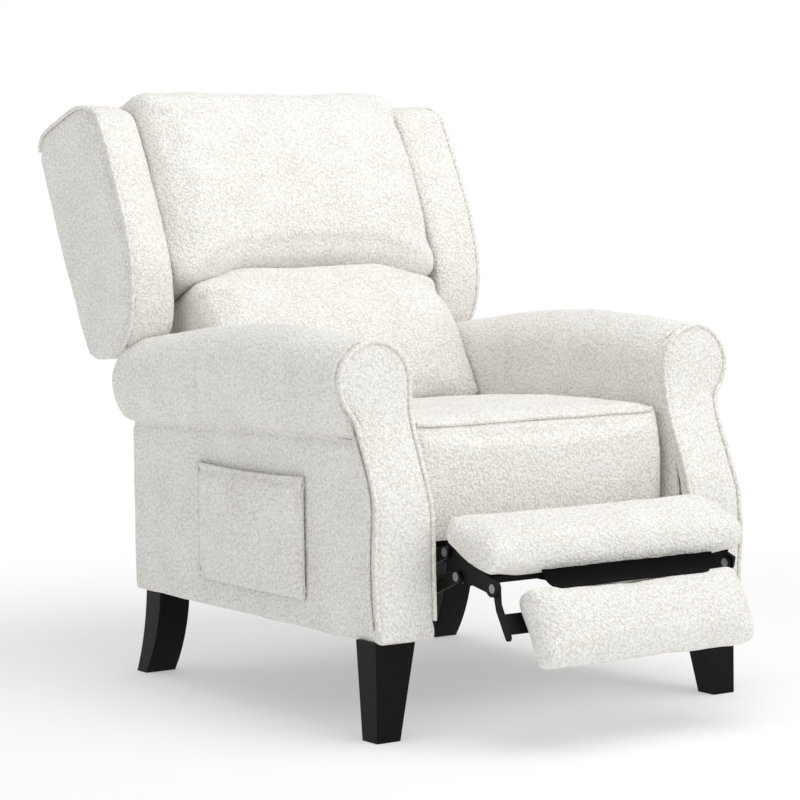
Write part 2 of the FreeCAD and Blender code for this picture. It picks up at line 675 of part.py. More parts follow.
def pad_section(x, long, thick, swell, round_off):
    """Section of a pad: flat underside, bowed face and ends. It lies flat, face up."""
    edge = 12 - round_off * 0.2
    inset = round_off
    front, rear = -long + inset, -inset
    top, low = -inset * 0.55, -thick + inset * 0.2
    middle = (front + rear) / 2
    return wire([(rear - edge, low), (front + edge, low), ((front + edge * 0.3, low + edge * 0.3), (front, low + edge)),
                 ((front - swell * 0.4, (top + low) / 2), (front, top - edge)),
                 ((front + edge * 0.3, top - edge * 0.3), (front + edge, top)),
                 ((middle, top + swell), (rear - edge, top)),
                 ((rear - edge * 0.3, top - edge * 0.3), (rear, top - edge)),
                 ((rear + swell * 0.2, (top + low) / 2), (rear, low + edge)),
                 ((rear - edge * 0.3, low + edge * 0.3), (rear - edge, low))],
                lambda y, z: Vector(x, y, z))


def pad_shape(half, long, thick, crown):
    """Crowned pad whose ends are drawn in, with a recess for its board."""
    sections = [pad_section(x, long, thick, crown - draw * 0.3, draw) for x, draw in rounded_ends(half, 10, 14)]
    shape = loft(sections)
    return shape.cut(board_shape(half, long, thick))


def board_shape(half, long, thick):
    """Plywood board let into the underside of a pad."""
    inset = mm("board_inset")
    return block((-half + inset, half - inset), (-long + inset, -inset), (-thick, -thick + mm("board")))


def pads():
    upper = Placement(Vector(0, mm("pad_edge_y"), mm("pad_edge_z")), Rotation(Vector(1, 0, 0), mm("pad_tilt")))
    lower = Placement(Vector(0, mm("low_edge_y"), mm("low_edge_z")), Rotation(Vector(1, 0, 0), mm("low_tilt")))
    for name, half, long, place in (("upper", "pad_half", "pad_long", upper), ("lower", "low_half", "low_long", lower)):
        feature(name + "_pad", pad_shape(mm(half), mm(long), mm("pad_thick"), mm("pad_crown")), place)
        feature(name + "_pad_board", board_shape(mm(half), mm(long), mm("pad_thick")), place)
    return upper, lower


def drilled(shape, places, radius):
    """Shape with holes along X at the given places."""
    for place in places:
        shape = shape.cut(rod(Vector(-400, place.y, place.z), Vector(400, place.y, place.z), radius))
    return shape


def ottoman_bracket(side, frame):
    """Flanged plate under the upper pad that carries the lifting links and the lower pad's hinge."""
    back = frame.inverse()
    short, long, low = [back.multVec(PLACES[key]) for key in ("bracket_short", "bracket_long", "low_pivot")]
    thick = mm("pad_thick")
    rim = 12
    bar = mm("link_thick")
    x = mm("bracket_in")
    crest = mm("pin_radius") + 3.5
    points = [(short.y + crest, -thick), (short.y + crest, short.z),
              ((short.y + crest * 0.7, short.z - rim + 3), (short.y - 2, short.z - rim)),
              (long.y + rim - 2, long.z - 3), ((long.y, long.z - rim), (long.y - rim + 2, long.z - 2)),
              (low.y + rim, low.z - rim), ((low.y, low.z - rim - 2), (low.y - rim, low.z)),
              (low.y - rim + 2, -thick)]
    plate = prism_x(points, x, x + bar)
    flange = block((x - 34, x + 1), (-mm("pad_long") + 20, -18), (-thick - 3, -thick))
    shape = mirrored(plate.fuse(flange).removeSplitter(), side)
    shape = drilled(shape, [short, long, low], mm("pin_radius") + mm("pin_gap"))
    return shape


def hinge_arm(side, frame):
    """Bent arm that carries the lower pad: a flat bar with a tab screwed to the pad's board."""
    low = frame.inverse().multVec(PLACES["low_pivot"])
    half = mm("link_wide") / 2
    bar, x = mm("link_thick"), mm("hinge_arm_in")
    base = -mm("pad_thick")
    points = [(low.y, low.z + half), ((low.y + half, low.z), (low.y, low.z - half)),
              (-14, base - 14), (-58, base - 12), ((-64, base - 8), (-58, base)), (-8, base + 0.0)]
    plate = prism_x(points, x, x + bar)
    tab = block((mm("low_half") - 62, x + 1), (-56, -24), (base - 3, base))
    shape = mirrored(plate.fuse(tab).removeSplitter(), side)
    return drilled(shape, [low], mm("pin_radius") + mm("pin_gap"))


def footrest():
    footrest_links()
    footrest_pins()
    torque_tube()
    upper, lower = pads()
    for name, side in SIDES:
        feature(name + "_ottoman_bracket", ottoman_bracket(side, upper), upper)
        feature(name + "_hinge_arm", hinge_arm(side, lower), lower)


# Seat

def seat_plate(side):
    """Steel side plate of the seat: slots for the slide studs, flange for the seat box, ear for the back."""
    x, thick = mm("seat_plate_in"), mm("plate")
    top = mm("box_bottom")
    low = mm("slide_height") - 22
    ear_y, ear_z = mm("hinge_y"), mm("hinge_z")
    points = [(-300, top), (-300, 275), (-240, low), (ear_y - 20, low), (ear_y + 20, ear_z - 16),
              ((ear_y + 26, ear_z), (ear_y + 18, ear_z + 18)), (ear_y - 20, top)]
    plate = prism_x(points, x, x + thick)
    flange = block((mm("box_half") - 30, x + thick), (-300, ear_y - 26), (top - thick, top))
    shape = plate.fuse(flange).removeSplitter()
    slack = mm("stud_radius") + 0.4
    for y in (mm("slide_front"), mm("slide_rear")):
        # the seat moves and the stud stays, so the slot reaches the other way
        ahead, behind = y - mm("slide_back") - 2, y + mm("slide_forward") + 2
        slot = block((x - 1, x + thick + 1), (ahead, behind), (mm("slide_height") - slack, mm("slide_height") + slack))
        for end in (ahead, behind):
            slot = slot.fuse(rod(Vector(x - 1, end, mm("slide_height")),
                                 Vector(x + thick + 1, end, mm("slide_height")), slack))
        shape = shape.cut(slot)
    shape = mirrored(shape, side)
    shape = drilled(shape, [PLACES["pivot"], PLACES["rear_pivot"]], mm("pin_radius"))
    return drilled(shape, [Vector(0, ear_y, ear_z)], mm("pin_radius") + 1)


def seat_section(x, draw):
    """Section of the seat cushion: bowed front border that hangs as a lip, crowned top, low rear."""
    half = mm("seat_half")
    front, rear = mm("seat_front") + draw * 0.6, mm("seat_rear")
    top, deck = mm("seat_welt") - draw * 0.7, mm("seat_deck")
    lip, deep = mm("lip_bottom") + draw * 0.5, mm("lip_deep")
    crown = mm("seat_crown") * (1 - (x / half) ** 2)
    return wire([(front + 4, lip), ((front - 6, (lip + top) / 2), (front + 2, top - 6)),
                 ((front + 6, top), (front + 14, top + 2)),
                 ((front * 0.45, top + crown + 3), (20, top + crown * 0.4 - 4)),
                 (100, top + crown * 0.2 - 22), (rear - 30, top - 26), ((rear - 6, top - 32), (rear, top - 50)),
                 (rear, deck), (front + deep, deck), (front + deep, lip)],
                lambda y, z: Vector(x, y, z))


def seat():
    cushion = loft([seat_section(x, draw) for x, draw in rounded_ends(mm("seat_half"), 9, 16)])
    feature("seat_cushion", cushion)
    rails = []
    low, tall, rail = "Sizes.box_bottom", "Sizes.box_tall", "Sizes.box_rail"
    length = "Sizes.box_rear - Sizes.box_front"
    for name, x in (("left", "-Sizes.box_half"), ("right", "Sizes.box_half - Sizes.box_rail")):
        rails.append(hidden_box("seat_box_" + name, rail, length, tall, (x, "Sizes.box_front", low)))
    for name, y in (("front", "Sizes.box_front"), ("rear", "Sizes.box_rear - Sizes.box_rail")):
        rails.append(hidden_box("seat_box_" + name, "2 * Sizes.box_half", rail, tall, ("-Sizes.box_half", y, low)))
    rails.append(hidden_box("seat_box_lip", "2 * Sizes.box_half", rail, "Sizes.box_bottom - Sizes.lip_bottom - 6",
                            ("-Sizes.box_half", "Sizes.box_front", "Sizes.lip_bottom + 6")))
    fused("seat_box", rails)
    straps = []
    top = mm("seat_deck")
    for number in range(5):
        x = (number - 2) * 84
        straps.append(block((x - mm("strap_wide") / 2, x + mm("strap_wide") / 2),
                            (mm("box_front"), mm("box_rear")), (top - mm("strap"), top)))
    feature("seat_webbing", Part.makeCompound(straps))
    for name, side in SIDES:
        feature(name + "_seat_plate", seat_plate(side))
    x = mm("seat_plate_in")
    ends = [Vector(way * x, mm("tube_y"), mm("box_bottom") - 42) for way in (-1, 1)]
    feature("seat_cross_tube", rod(*ends, mm("tube_radius")).cut(rod(*ends, mm("tube_radius") - 2)))
    place = Vector(0, mm("hinge_y"), mm("hinge_z"))
    hinge_pins = []
    for _, side in SIDES:
        shank = rod(Vector(side * (mm("swing_in") - 0.7), place.y, place.z),
                    Vector(side * (x + mm("plate")), place.y, place.z), mm("pin_radius") + 1)
        heads = [rod(Vector(side * (mm("swing_in") - 3), place.y, place.z),
                     Vector(side * (mm("swing_in") - 0.7), place.y, place.z), mm("head_radius") + 2),
                 rod(Vector(side * (x + mm("plate")), place.y, place.z),
                     Vector(side * (x + mm("plate") + 1.6), place.y, place.z), mm("head_radius") + 2)]
        hinge_pins.append(shank.fuse(heads).removeSplitter())
    feature("back_hinge_pins", Part.makeCompound(hinge_pins))


# Back: it is modelled upright about its datum, then leaned back

def back_place():
    return Placement(Vector(0, mm("back_y"), mm("back_z")), Rotation(Vector(1, 0, 0), -mm("back_tilt")))


def wing_section(x, draw):
    """Side view of a wing, in front of and above the datum of the back, drawn in by draw."""
    front, top, rear = -mm("wing_deep") + draw, mm("wing_top") - draw, mm("back_rear")
    foot = -28 + draw
    return wire([(rear, foot + 26), (rear, top - 16), ((rear - 3, top - 4), (rear - 14, top)), (front + 80, top - 12),
                 ((front + 40, top - 24), (front + 16, top - 58)),
                 ((front, top * 0.5), (front + 9, top * 0.2)),
                 ((front + 40, foot + 40), (front + 96, foot + 8)), ((front + 140, foot), (front + 190, foot + 8))],
                lambda y, z: Vector(x, y, z))


def wing(side):
    """Padded wing: its rims are rounded over, most of all inside."""
    low, high = mm("wing_inner"), mm("wing_outer")
    stations = [(low, 16), (low + 2.5, 8), (low + 9, 2), (low + 20, 0), (high - 16, 0), (high - 6, 2), (high, 8)]
    shape = loft([wing_section(x, draw) for x, draw in stations])
    return mirrored(shape, side)


def head_section(x, draw):
    """Section of the head cushion: it swells forward and wraps over the top rail."""
    front, top, low = -mm("head_front") + draw * 1.6, mm("head_top") - draw * 0.4, mm("head_bottom")
    rear = -mm("frame_deep") - 2
    rail_top = mm("wing_top") - 22
    return wire([(rear, low), (front + 44, low + 2), ((front + 14, low + 12), (front + 8, low + 44)),
                 ((front, (low + top) / 2), (front + 14, top - 70)),
                 ((front + 34, top - 14), (front + 80, top)),
                 ((-100, top + 2), (-40, top - 8)), ((-8, top - 16), (-3, top - 34)),
                 (-3, rail_top), (rear, rail_top)],
                lambda y, z: Vector(x, y, z))


def lumbar_section(x, draw):
    """Section of the lumbar cushion: thicker at its foot, its underside an arc about the hinge."""
    back = back_place().inverse()
    hinge = back.multVec(Vector(0, mm("hinge_y"), mm("hinge_z")))
    reach = mm("lumbar_reach") + draw
    front, top, rear = -mm("head_front") + draw, mm("head_bottom") - 1, -mm("frame_deep") - 2
    foot = hinge + turned(reach, 94 + mm("back_tilt"))
    crest = hinge + turned(reach, 70 + mm("back_tilt"))
    heel = hinge + turned(reach, 46 + mm("back_tilt"))
    return wire([(rear, heel.z - 6), (rear, top), (front + 46, top),
                 ((front + 10, top - 14), (front - 2, top - 56)),
                 ((front - 34, -70), (foot.y - 5, foot.z + 12)),
                 ((foot.y - 4, foot.z + 3), (foot.y + 4, foot.z)),
                 ((crest.y, crest.z), (heel.y, heel.z))],
                lambda y, z: Vector(x, y, z))


def back_frame():
    """Ladder of timber rails, with arms at the top for the wings."""
    half, rail, deep = mm("frame_half"), mm("frame_rail"), mm("frame_deep")
    low, top = mm("frame_low"), mm("wing_top") - 24
    inner = mm("wing_inner")
    shape = block((-half, -half + rail), (-deep, 0), (low, top))
    shape = shape.fuse(block((half - rail, half), (-deep, 0), (low, top)))
    for z in (low, -40):
        shape = shape.fuse(block((-half, half), (-deep, -deep + 40), (z, z + 40)))
    for z in (90, top - 40):
        shape = shape.fuse(block((-inner, inner), (-deep, -deep + 40), (z, z + 40)))
    return shape.removeSplitter()


def back_bracket(side):
    """Steel arm from the back hinge to the side rail of the back frame."""
    hinge = back_place().inverse().multVec(Vector(0, mm("hinge_y"), mm("hinge_z")))
    x, bar = mm("frame_half") + 0.5, mm("link_thick")
    rail_front = -mm("frame_deep")
    # the straight part leaves the hinge level with the floor, so it passes under the seat cushion
    level = turned(1, mm("back_tilt"))
    across = turned(1, mm("back_tilt") + 90)
    heel = hinge + level * 62
    points = [(hinge.y + across.y * 13, hinge.z + across.z * 13),
              ((hinge.y - level.y * 13, hinge.z - level.z * 13), (hinge.y - across.y * 13, hinge.z - across.z * 13)),
              (heel.y - across.y * 15, heel.z - across.z * 15), (rail_front + 10, mm("frame_low") + 10),
              (-6, mm("frame_low") + 14), (-6, mm("frame_low") + 150), (rail_front + 14, mm("frame_low") + 150),
              (rail_front + 14, mm("frame_low") + 52), (heel.y + across.y * 13, heel.z + across.z * 13)]
    plate = prism_x(points, x, x + bar)
    plate = mirrored(plate, side)
    return drilled(plate, [hinge], mm("pin_radius") + 1 + mm("pin_gap"))


def back():
    place = back_place()
    feature("head_cushion", loft([head_section(*place) for place in rounded_ends(mm("head_half"), 20, 34)]), place)
    feature("lumbar_cushion", loft([lumbar_section(*place) for place in rounded_ends(mm("lumbar_half"), 14, 26)]), place)
    feature("back_frame", back_frame(), place)
    boards = []
    for name, side in SIDES:
        board = mirrored(prism_x([(0, 30), (0, mm("wing_top") - 40), (-150, mm("wing_top") - 60), (-170, 200), (-150, 60)],
                                 mm("wing_inner") + 30, mm("wing_inner") + 42), side)
        boards.append(board)
        feature(name + "_wing", wing(side).cut(board), place)
        feature(name + "_back_bracket", back_bracket(side), place)
    feature("wing_boards", Part.makeCompound(boards), place)
    bolts = []
    grip = mm("frame_half") + 0.5 + mm("link_thick")
    for _, side in SIDES:
        for z in (mm("frame_low") + 34, mm("frame_low") + 126):
            shank = rod(Vector(side * (grip - 26), -26, z), Vector(side * grip, -26, z), 3)
            head = rod(Vector(side * grip, -26, z), Vector(side * (grip + 1.2), -26, z), 7)
            bolt = shank.fuse(head).removeSplitter()
            bolt.Placement = place
            bolts.append(bolt)
    fasten("back_bracket_bolts", bolts, ["back_frame", "left_back_bracket", "right_back_bracket"])
    rear = mm("back_rear")
    wide, slim, top = mm("wing_inner") - 0.5, mm("lumbar_half"), mm("wing_top")
    outline = [(-slim, mm("frame_low")), (slim, mm("frame_low")), (slim, 0), (wide, 0), (wide, top - 2),
               (-wide, top - 2), (-wide, 0), (-slim, 0)]
    feature("outer_back_panel", prism_y(outline, 0, rear), place)
    straps = []
    for number in range(6):
        z = mm("frame_low") + (mm("wing_top") - mm("frame_low")) * (0.074 + 0.136 * number)
        straps.append(block((-mm("frame_half"), mm("frame_half")), (-mm("frame_deep") - mm("strap"), -mm("frame_deep")),
                            (z, z + mm("strap_wide"))))
    feature("back_webbing", Part.makeCompound(straps), place)


def save():
    """Check every object, then write one file for each sub-part."""
    doc.recompute()
    for thing in doc.Objects:
        if "Invalid" in thing.State or "Error" in thing.State:
            raise RuntimeError("failed object: " + thing.Label)
    os.makedirs("parts", exist_ok=True)
    total = 0
    for part in PARTS:
        shape = part.Shape
        if shape.isNull() or not shape.isValid():
            raise RuntimeError("bad shape: " + part.Label)
        shape.exportStep("parts/" + part.Label + ".step")
        facets = len(shape.tessellate(0.5)[1])
        total += facets
        print("%-24s solids %2d  volume %9.1f cm3  facets %5d" % (part.Label, len(shape.Solids),
                                                                  shape.Volume / 1000, facets))
    print("sub-parts", len(PARTS), "facets", total)


arms()
side_pocket()
legs()
base_members()
rail_screws()
seat()
footrest()
back()
save()
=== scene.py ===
# %% [markdown]
# # A wingback recliner in looped cloth
#
# The chair's timber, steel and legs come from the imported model, the frame. Everything soft is made here:
# cushions, wings, padded arms, pads, piping and the cloth pocket. Each cell makes one thing and says why
# it is made that way.

# %% Start: load the frame and note its box
import json
import math

import bmesh
import bpy
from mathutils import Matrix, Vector, noise
from mathutils.bvhtree import BVHTree
from mathutils.kdtree import KDTree


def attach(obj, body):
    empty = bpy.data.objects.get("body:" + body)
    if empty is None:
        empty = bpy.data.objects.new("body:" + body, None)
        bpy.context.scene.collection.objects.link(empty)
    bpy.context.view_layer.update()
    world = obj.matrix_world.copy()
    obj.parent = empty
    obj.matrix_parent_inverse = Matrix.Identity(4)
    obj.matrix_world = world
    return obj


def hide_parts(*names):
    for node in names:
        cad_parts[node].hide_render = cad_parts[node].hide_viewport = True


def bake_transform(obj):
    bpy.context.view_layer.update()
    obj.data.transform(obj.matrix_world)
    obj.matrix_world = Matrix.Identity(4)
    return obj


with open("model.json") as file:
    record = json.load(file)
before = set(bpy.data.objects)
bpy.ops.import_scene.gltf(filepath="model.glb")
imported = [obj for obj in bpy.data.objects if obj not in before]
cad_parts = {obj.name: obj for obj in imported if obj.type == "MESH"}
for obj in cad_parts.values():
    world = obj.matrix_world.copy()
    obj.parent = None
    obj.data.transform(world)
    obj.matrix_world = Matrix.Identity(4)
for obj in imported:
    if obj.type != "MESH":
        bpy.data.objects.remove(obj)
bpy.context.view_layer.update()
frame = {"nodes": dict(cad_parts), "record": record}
nodes = frame["nodes"]
scene = bpy.context.scene

# %% [markdown]
# ## Sizes
#
# A few real sizes are repeated from the frame. The back leans, so its pieces are placed with two distances:
# how far in front of the back's datum they are, and how far up the back.

# %% Sizes in metres
ARM_INNER = 0.250
ARM_OUTER = 0.345
ARM_BOTTOM = 0.1490
ARM_REAR = 0.350
ROLL_X = 0.311
ROLL_RADIUS = 0.063
ROLL_Z = 0.537
FACING_LOW_Y = -0.426
FACING_HIGH_Y = -0.365
FACING_THICK = 0.026
BACK_TILT = math.radians(23.5)
BACK_DATUM = Vector((0, 0.472, 0.542))
PIPING = 0.0036
VOXEL = 0.006


def on_back(x, ahead, up):
    """Point on the leaning back: metres in front of its datum and metres up it."""
    ahead_way = Vector((0, -math.cos(BACK_TILT), math.sin(BACK_TILT)))
    up_way = Vector((0, math.sin(BACK_TILT), math.cos(BACK_TILT)))
    return BACK_DATUM + Vector((x, 0, 0)) + ahead_way * ahead + up_way * up


def smooth(value):
    """0 below 0, 1 above 1, and an even curve between."""
    value = min(1, max(0, value))
    return value * value * (3 - 2 * value)

# %% [markdown]
# ## Materials
#
# Every finish here is a small tree of nodes. It could be wired by hand in the editor, but a few helpers keep
# each material short: one turns a hex colour to linear light, one adds a node with its settings and links.

# %% Colour and node helpers
def linear(hex_colour):
    """sRGB hex text to a linear colour with alpha."""
    parts = [int(hex_colour[i:i + 2], 16) / 255 for i in (1, 3, 5)]
    return [c / 12.92 if c <= 0.04045 else ((c + 0.055) / 1.055) ** 2.4 for c in parts] + [1]


def add(material, kind, settings=None, links=None):
    """Add one node. Settings go by socket or property name, links by socket name to an output."""
    node = material.node_tree.nodes.new(kind)
    for name, value in (settings or {}).items():
        if isinstance(name, int) or name in node.inputs:
            node.inputs[name].default_value = value
        else:
            setattr(node, name, value)
    for name, output in (links or {}).items():
        material.node_tree.links.new(output, node.inputs[name])
    return node


def new_material(name):
    """Material with an empty node tree, and its Object coordinates."""
    material = bpy.data.materials.new(name)
    material.use_nodes = True
    material.node_tree.nodes.clear()
    place = add(material, "ShaderNodeTexCoord").outputs["Object"]
    return material, place


def finish_material(material, shader):
    """Connect the shader to the material's output."""
    add(material, "ShaderNodeOutputMaterial", links={"Surface": shader.outputs[0]})
    return material


def ramp(material, value, stops):
    """Colour ramp through (place, hex colour) stops."""
    node = add(material, "ShaderNodeValToRGB", links={"Fac": value})
    elements = node.color_ramp.elements
    while len(elements) < len(stops):
        elements.new(0.5)
    for element, (place, colour) in zip(elements, stops):
        element.position = place
        element.color = linear(colour)
    return node.outputs["Color"]

# %% [markdown]
# ## Boucle cloth
#
# The cover is boucle: yarn with small loose loops. Close up it is a field of rounded bumps with shaded gaps, and
# from a step away a soft grain. A smooth cell pattern gives the loops and a noise the yarn. The gaps between the
# loops are painted a darker colour, as painted shade. Real loops are about 3 mm wide. They are drawn at 4.3 mm, so
# that they still show from across the room.

# %% Boucle cloth
LOOP_SIZE = 0.0043
YARN_SIZE = 0.0013


def boucle(name, light, shade, depth=0.0018):
    """Looped wool blend: round loops with painted shade in the gaps between them, and slow random changes of tone."""
    material, place = new_material(name)
    wander = add(material, "ShaderNodeTexNoise", {"Scale": 1 / 0.009, "Detail": 1.0}, {"Vector": place})
    warped = add(material, "ShaderNodeVectorMath", {"operation": "SCALE", "Scale": 0.005},
                 {"Vector": wander.outputs["Color"]})
    moved = add(material, "ShaderNodeVectorMath", {"operation": "ADD"}, {0: place, 1: warped.outputs[0]})
    loops = add(material, "ShaderNodeTexVoronoi", {"Scale": 1 / LOOP_SIZE, "feature": "SMOOTH_F1", "Smoothness": 0.4},
                {"Vector": moved.outputs[0]})
    yarn = add(material, "ShaderNodeTexNoise", {"Scale": 1 / YARN_SIZE, "Detail": 2.0}, {"Vector": place})
    slow = add(material, "ShaderNodeTexNoise", {"Scale": 1 / 0.07, "Detail": 2.0}, {"Vector": place})
    crown = add(material, "ShaderNodeMapRange", {"From Min": 0.1, "From Max": 0.8, "To Min": 1.0, "To Max": 0.0},
                {"Value": loops.outputs["Distance"]})
    height = add(material, "ShaderNodeMath", {"operation": "MULTIPLY_ADD", 1: 0.3},
                 {0: yarn.outputs["Fac"], 2: crown.outputs[0]})
    # Colour: darker in the gaps between loops as painted shade, plus slow random changes of tone.
    tone_and_gap_shade = add(material, "ShaderNodeMath", {"operation": "MULTIPLY_ADD", 1: 0.5},
               {0: slow.outputs["Fac"], 2: crown.outputs[0]})
    colour = ramp(material, tone_and_gap_shade.outputs[0], [(0.25, shade), (0.95, light)])
    bump = add(material, "ShaderNodeBump", {"Strength": 1.0, "Distance": depth}, {"Height": height.outputs[0]})
    shader = add(material, "ShaderNodeBsdfPrincipled",
                 {"Roughness": 0.95, "Specular IOR Level": 0.15, "Sheen Weight": 0.2, "Sheen Roughness": 0.6},
                 {"Base Color": colour, "Normal": bump.outputs[0]})
    return finish_material(material, shader)


wool_boucle = boucle("cream_wool_boucle", "#F6F4F0", "#DDD9D2")
piping_cloth = boucle("boucle_piping", "#F6F4F0", "#DAD6CE", 0.0014)

# %% [markdown]
# ## Rigid finishes, webbing and lining
#
# Satin lacquer, powder coat, zinc plate and planed beech differ in colour, gloss and grain, so one function
# makes them all. The grain has a real size, and it is stretched along the wood.

# %% Lacquer, steel, timber, webbing and lining
def plain(name, colour, roughness, grain, metallic=0.0, gloss=0.5, stretch=(1, 1, 1)):
    """Rigid finish: a colour with fine grain of a real size, also in its roughness and bump."""
    material, place = new_material(name)
    size, darker, depth = grain
    scaled = add(material, "ShaderNodeMapping", {"Scale": stretch}, {"Vector": place})
    fine = add(material, "ShaderNodeTexNoise", {"Scale": 1 / size, "Detail": 4.0}, {"Vector": scaled.outputs[0]})
    tint = ramp(material, fine.outputs["Fac"], [(0.35, darker), (0.65, colour)])
    rough = add(material, "ShaderNodeMapRange", {"To Min": roughness * 0.85, "To Max": roughness * 1.15},
                {"Value": fine.outputs["Fac"]})
    bump = add(material, "ShaderNodeBump", {"Strength": 0.4, "Distance": depth}, {"Height": fine.outputs["Fac"]})
    shader = add(material, "ShaderNodeBsdfPrincipled", {"Metallic": metallic, "Specular IOR Level": gloss},
                 {"Base Color": tint, "Roughness": rough.outputs[0], "Normal": bump.outputs[0]})
    return finish_material(material, shader)


satin_lacquer = plain("black_satin_lacquer", "#080706", 0.4, (0.004, "#040303", 0.0001), gloss=0.12,
                      stretch=(1, 1, 0.12))
powder_coat = plain("black_powder_coat", "#0A0A0B", 0.5, (0.0012, "#050506", 0.0001), gloss=0.2)
zinc_plate = plain("bright_zinc_plate", "#A9ADB1", 0.32, (0.003, "#8E9296", 0.00005), metallic=1.0)
planed_beech = plain("planed_beech", "#C79F6E", 0.6, (0.006, "#A67C4C", 0.0002), stretch=(1, 0.08, 1))
webbing = plain("woven_elastic_webbing", "#232322", 0.8, (0.002, "#121211", 0.0004), stretch=(1, 0.4, 1))
lining = plain("black_polypropylene_cloth", "#0B0B0B", 0.9, (0.0015, "#050505", 0.0003), gloss=0.1)

FINISHES = {"cream_boucle": wool_boucle, "black_lacquer": satin_lacquer, "beech_timber": planed_beech,
            "elastic_webbing": webbing, "black_steel": powder_coat, "zinc_steel": zinc_plate}
for part in frame["record"]["subparts"]:
    piece = nodes[part["node"]]
    piece.data.materials.clear()
    piece.data.materials.append(FINISHES[part["material_slot"]])
print("materials:", len(bpy.data.materials))

# %% [markdown]
# ## How a stuffed piece is made
#
# A cushion starts from the solid that the frame keeps for it. The solid is merged, remeshed into even
# small squares and blown up a little as cloth, so it swells between its edges as foam does under a cover.
# A cap keeps each point near its start, so the piece stays in its space.

# %% Objects and meshes
def new_object(name, mesh):
    """Object for a mesh, linked to the scene."""
    piece = bpy.data.objects.new(name, mesh)
    scene.collection.objects.link(piece)
    return piece


def evaluated_mesh(piece):
    """The mesh as its modifiers leave it."""
    bpy.context.view_layer.update()
    graph = bpy.context.evaluated_depsgraph_get()
    return bpy.data.meshes.new_from_object(piece.evaluated_get(graph))


def apply_modifiers(piece):
    """Keep the modifiers' result as the piece's own mesh."""
    mesh = evaluated_mesh(piece)
    piece.modifiers.clear()
    piece.data = mesh
    return piece


def copy_of(node, name):
    """Merged copy of a frame node's mesh."""
    mesh = nodes[node].data.copy()
    shape = bmesh.new()
    shape.from_mesh(mesh)
    bmesh.ops.remove_doubles(shape, verts=shape.verts, dist=0.00005)
    bmesh.ops.recalc_face_normals(shape, faces=shape.faces)
    shape.to_mesh(mesh)
    shape.free()
    mesh.materials.clear()
    return new_object(name, mesh)


def bridged(name, rings):
    """Closed solid through rings of points."""
    shape = bmesh.new()
    loops = []
    for ring in rings:
        corners = [shape.verts.new(point) for point in ring]
        loops.append([shape.edges.new(pair) for pair in zip(corners, corners[1:] + corners[:1])])
    for first, second in zip(loops, loops[1:]):
        bmesh.ops.bridge_loops(shape, edges=first + second)
    for loop in (loops[0], loops[-1]):
        bmesh.ops.contextual_create(shape, geom=loop)
    bmesh.ops.triangulate(shape, faces=[face for face in shape.faces if len(face.verts) > 4])
    bmesh.ops.recalc_face_normals(shape, faces=shape.faces)
    mesh = bpy.data.meshes.new(name)
    shape.to_mesh(mesh)
    shape.free()
    return new_object(name, mesh)

# %% [markdown]
# ## Stuffing
#
# Remeshing gives the even squares that cloth needs, the cloth swells under pressure, and smoothing takes away the
# steps that the squares leave. Foam is never quite even, so slow swells follow.

# %% Remesh, inflate, smooth and rumple
def remesh(piece, size):
    """Rebuild the piece from even small squares."""
    modifier = piece.modifiers.new("Remesh", "REMESH")
    modifier.mode = "VOXEL"
    modifier.voxel_size = size
    return apply_modifiers(piece)


CLOTH_FRAMES = 14


def inflate(piece, cap, pressure=4.0):
    """Blow the piece up as cloth. No point moves further than cap along x, y or z."""
    start = [vertex.co.copy() for vertex in piece.data.vertices]
    modifier = piece.modifiers.new("Cloth", "CLOTH")
    modifier.settings.use_pressure = True
    modifier.settings.uniform_pressure_force = pressure
    modifier.settings.effector_weights.gravity = 0
    modifier.settings.quality = 4
    for number in range(1, CLOTH_FRAMES + 1):
        scene.frame_set(number)
    blown = evaluated_mesh(piece)
    piece.modifiers.clear()
    scene.frame_set(1)
    for vertex, old, new in zip(piece.data.vertices, start, blown.vertices):
        move = new.co - old
        for axis in range(3):
            move[axis] = max(-cap[axis], min(cap[axis], move[axis]))
        vertex.co = old + move
    bpy.data.meshes.remove(blown)
    return piece


def relax(piece, times):
    """Even out the surface."""
    shape = bmesh.new()
    shape.from_mesh(piece.data)
    for _ in range(times):
        bmesh.ops.smooth_vert(shape, verts=shape.verts, factor=0.5, use_axis_x=True, use_axis_y=True,
                              use_axis_z=True)
    shape.to_mesh(piece.data)
    shape.free()
    return piece


def divide(piece):
    """One level of subdivision, kept."""
    modifier = piece.modifiers.new("Subdivision", "SUBSURF")
    modifier.levels = modifier.render_levels = 1
    apply_modifiers(piece)
    return piece


def rumple(piece, depth, size, seed):
    """Uneven stuffing: slow swells of a real depth and size along the surface's normal."""
    offset = Vector((seed * 3.1, seed * 1.7, seed * 2.3))
    normals = [vertex.normal.copy() for vertex in piece.data.vertices]
    for vertex, normal in zip(piece.data.vertices, normals):
        swell = noise.noise(vertex.co / size + offset) + 0.5 * noise.noise(vertex.co * 2.3 / size - offset)
        vertex.co = vertex.co + normal * swell * depth
    return piece

# %% [markdown]
# ## Seams, finish and twins
#
# A seam pulls the cloth in along a line. It could be cut into the mesh, but pressing the nearest points inwards
# keeps the mesh even. The chair is symmetric, so one side is made and then mirrored.

# %% Press a seam, dress a piece, mirror it
def press(piece, path, width, depth):
    """Press a seam along a line of points into the surface."""
    tree = KDTree(len(path))
    for index, point in enumerate(path):
        tree.insert(point, index)
    tree.balance()
    normals = [vertex.normal.copy() for vertex in piece.data.vertices]
    for vertex, normal in zip(piece.data.vertices, normals):
        gap = tree.find(vertex.co)[2]
        if gap < width * 3:
            vertex.co = vertex.co - normal * depth * math.exp(-(gap / width) ** 2)
    return piece


def dress(piece, body, material, stands_for=()):
    """Give a piece its finish and its body, and hide the frame parts it stands for."""
    piece.data.materials.clear()
    piece.data.materials.append(material)
    for face in piece.data.polygons:
        face.use_smooth = True
    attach(piece, body)
    if stands_for:
        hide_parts(*stands_for)
    print(piece.name, len(piece.data.polygons), "faces")
    return piece


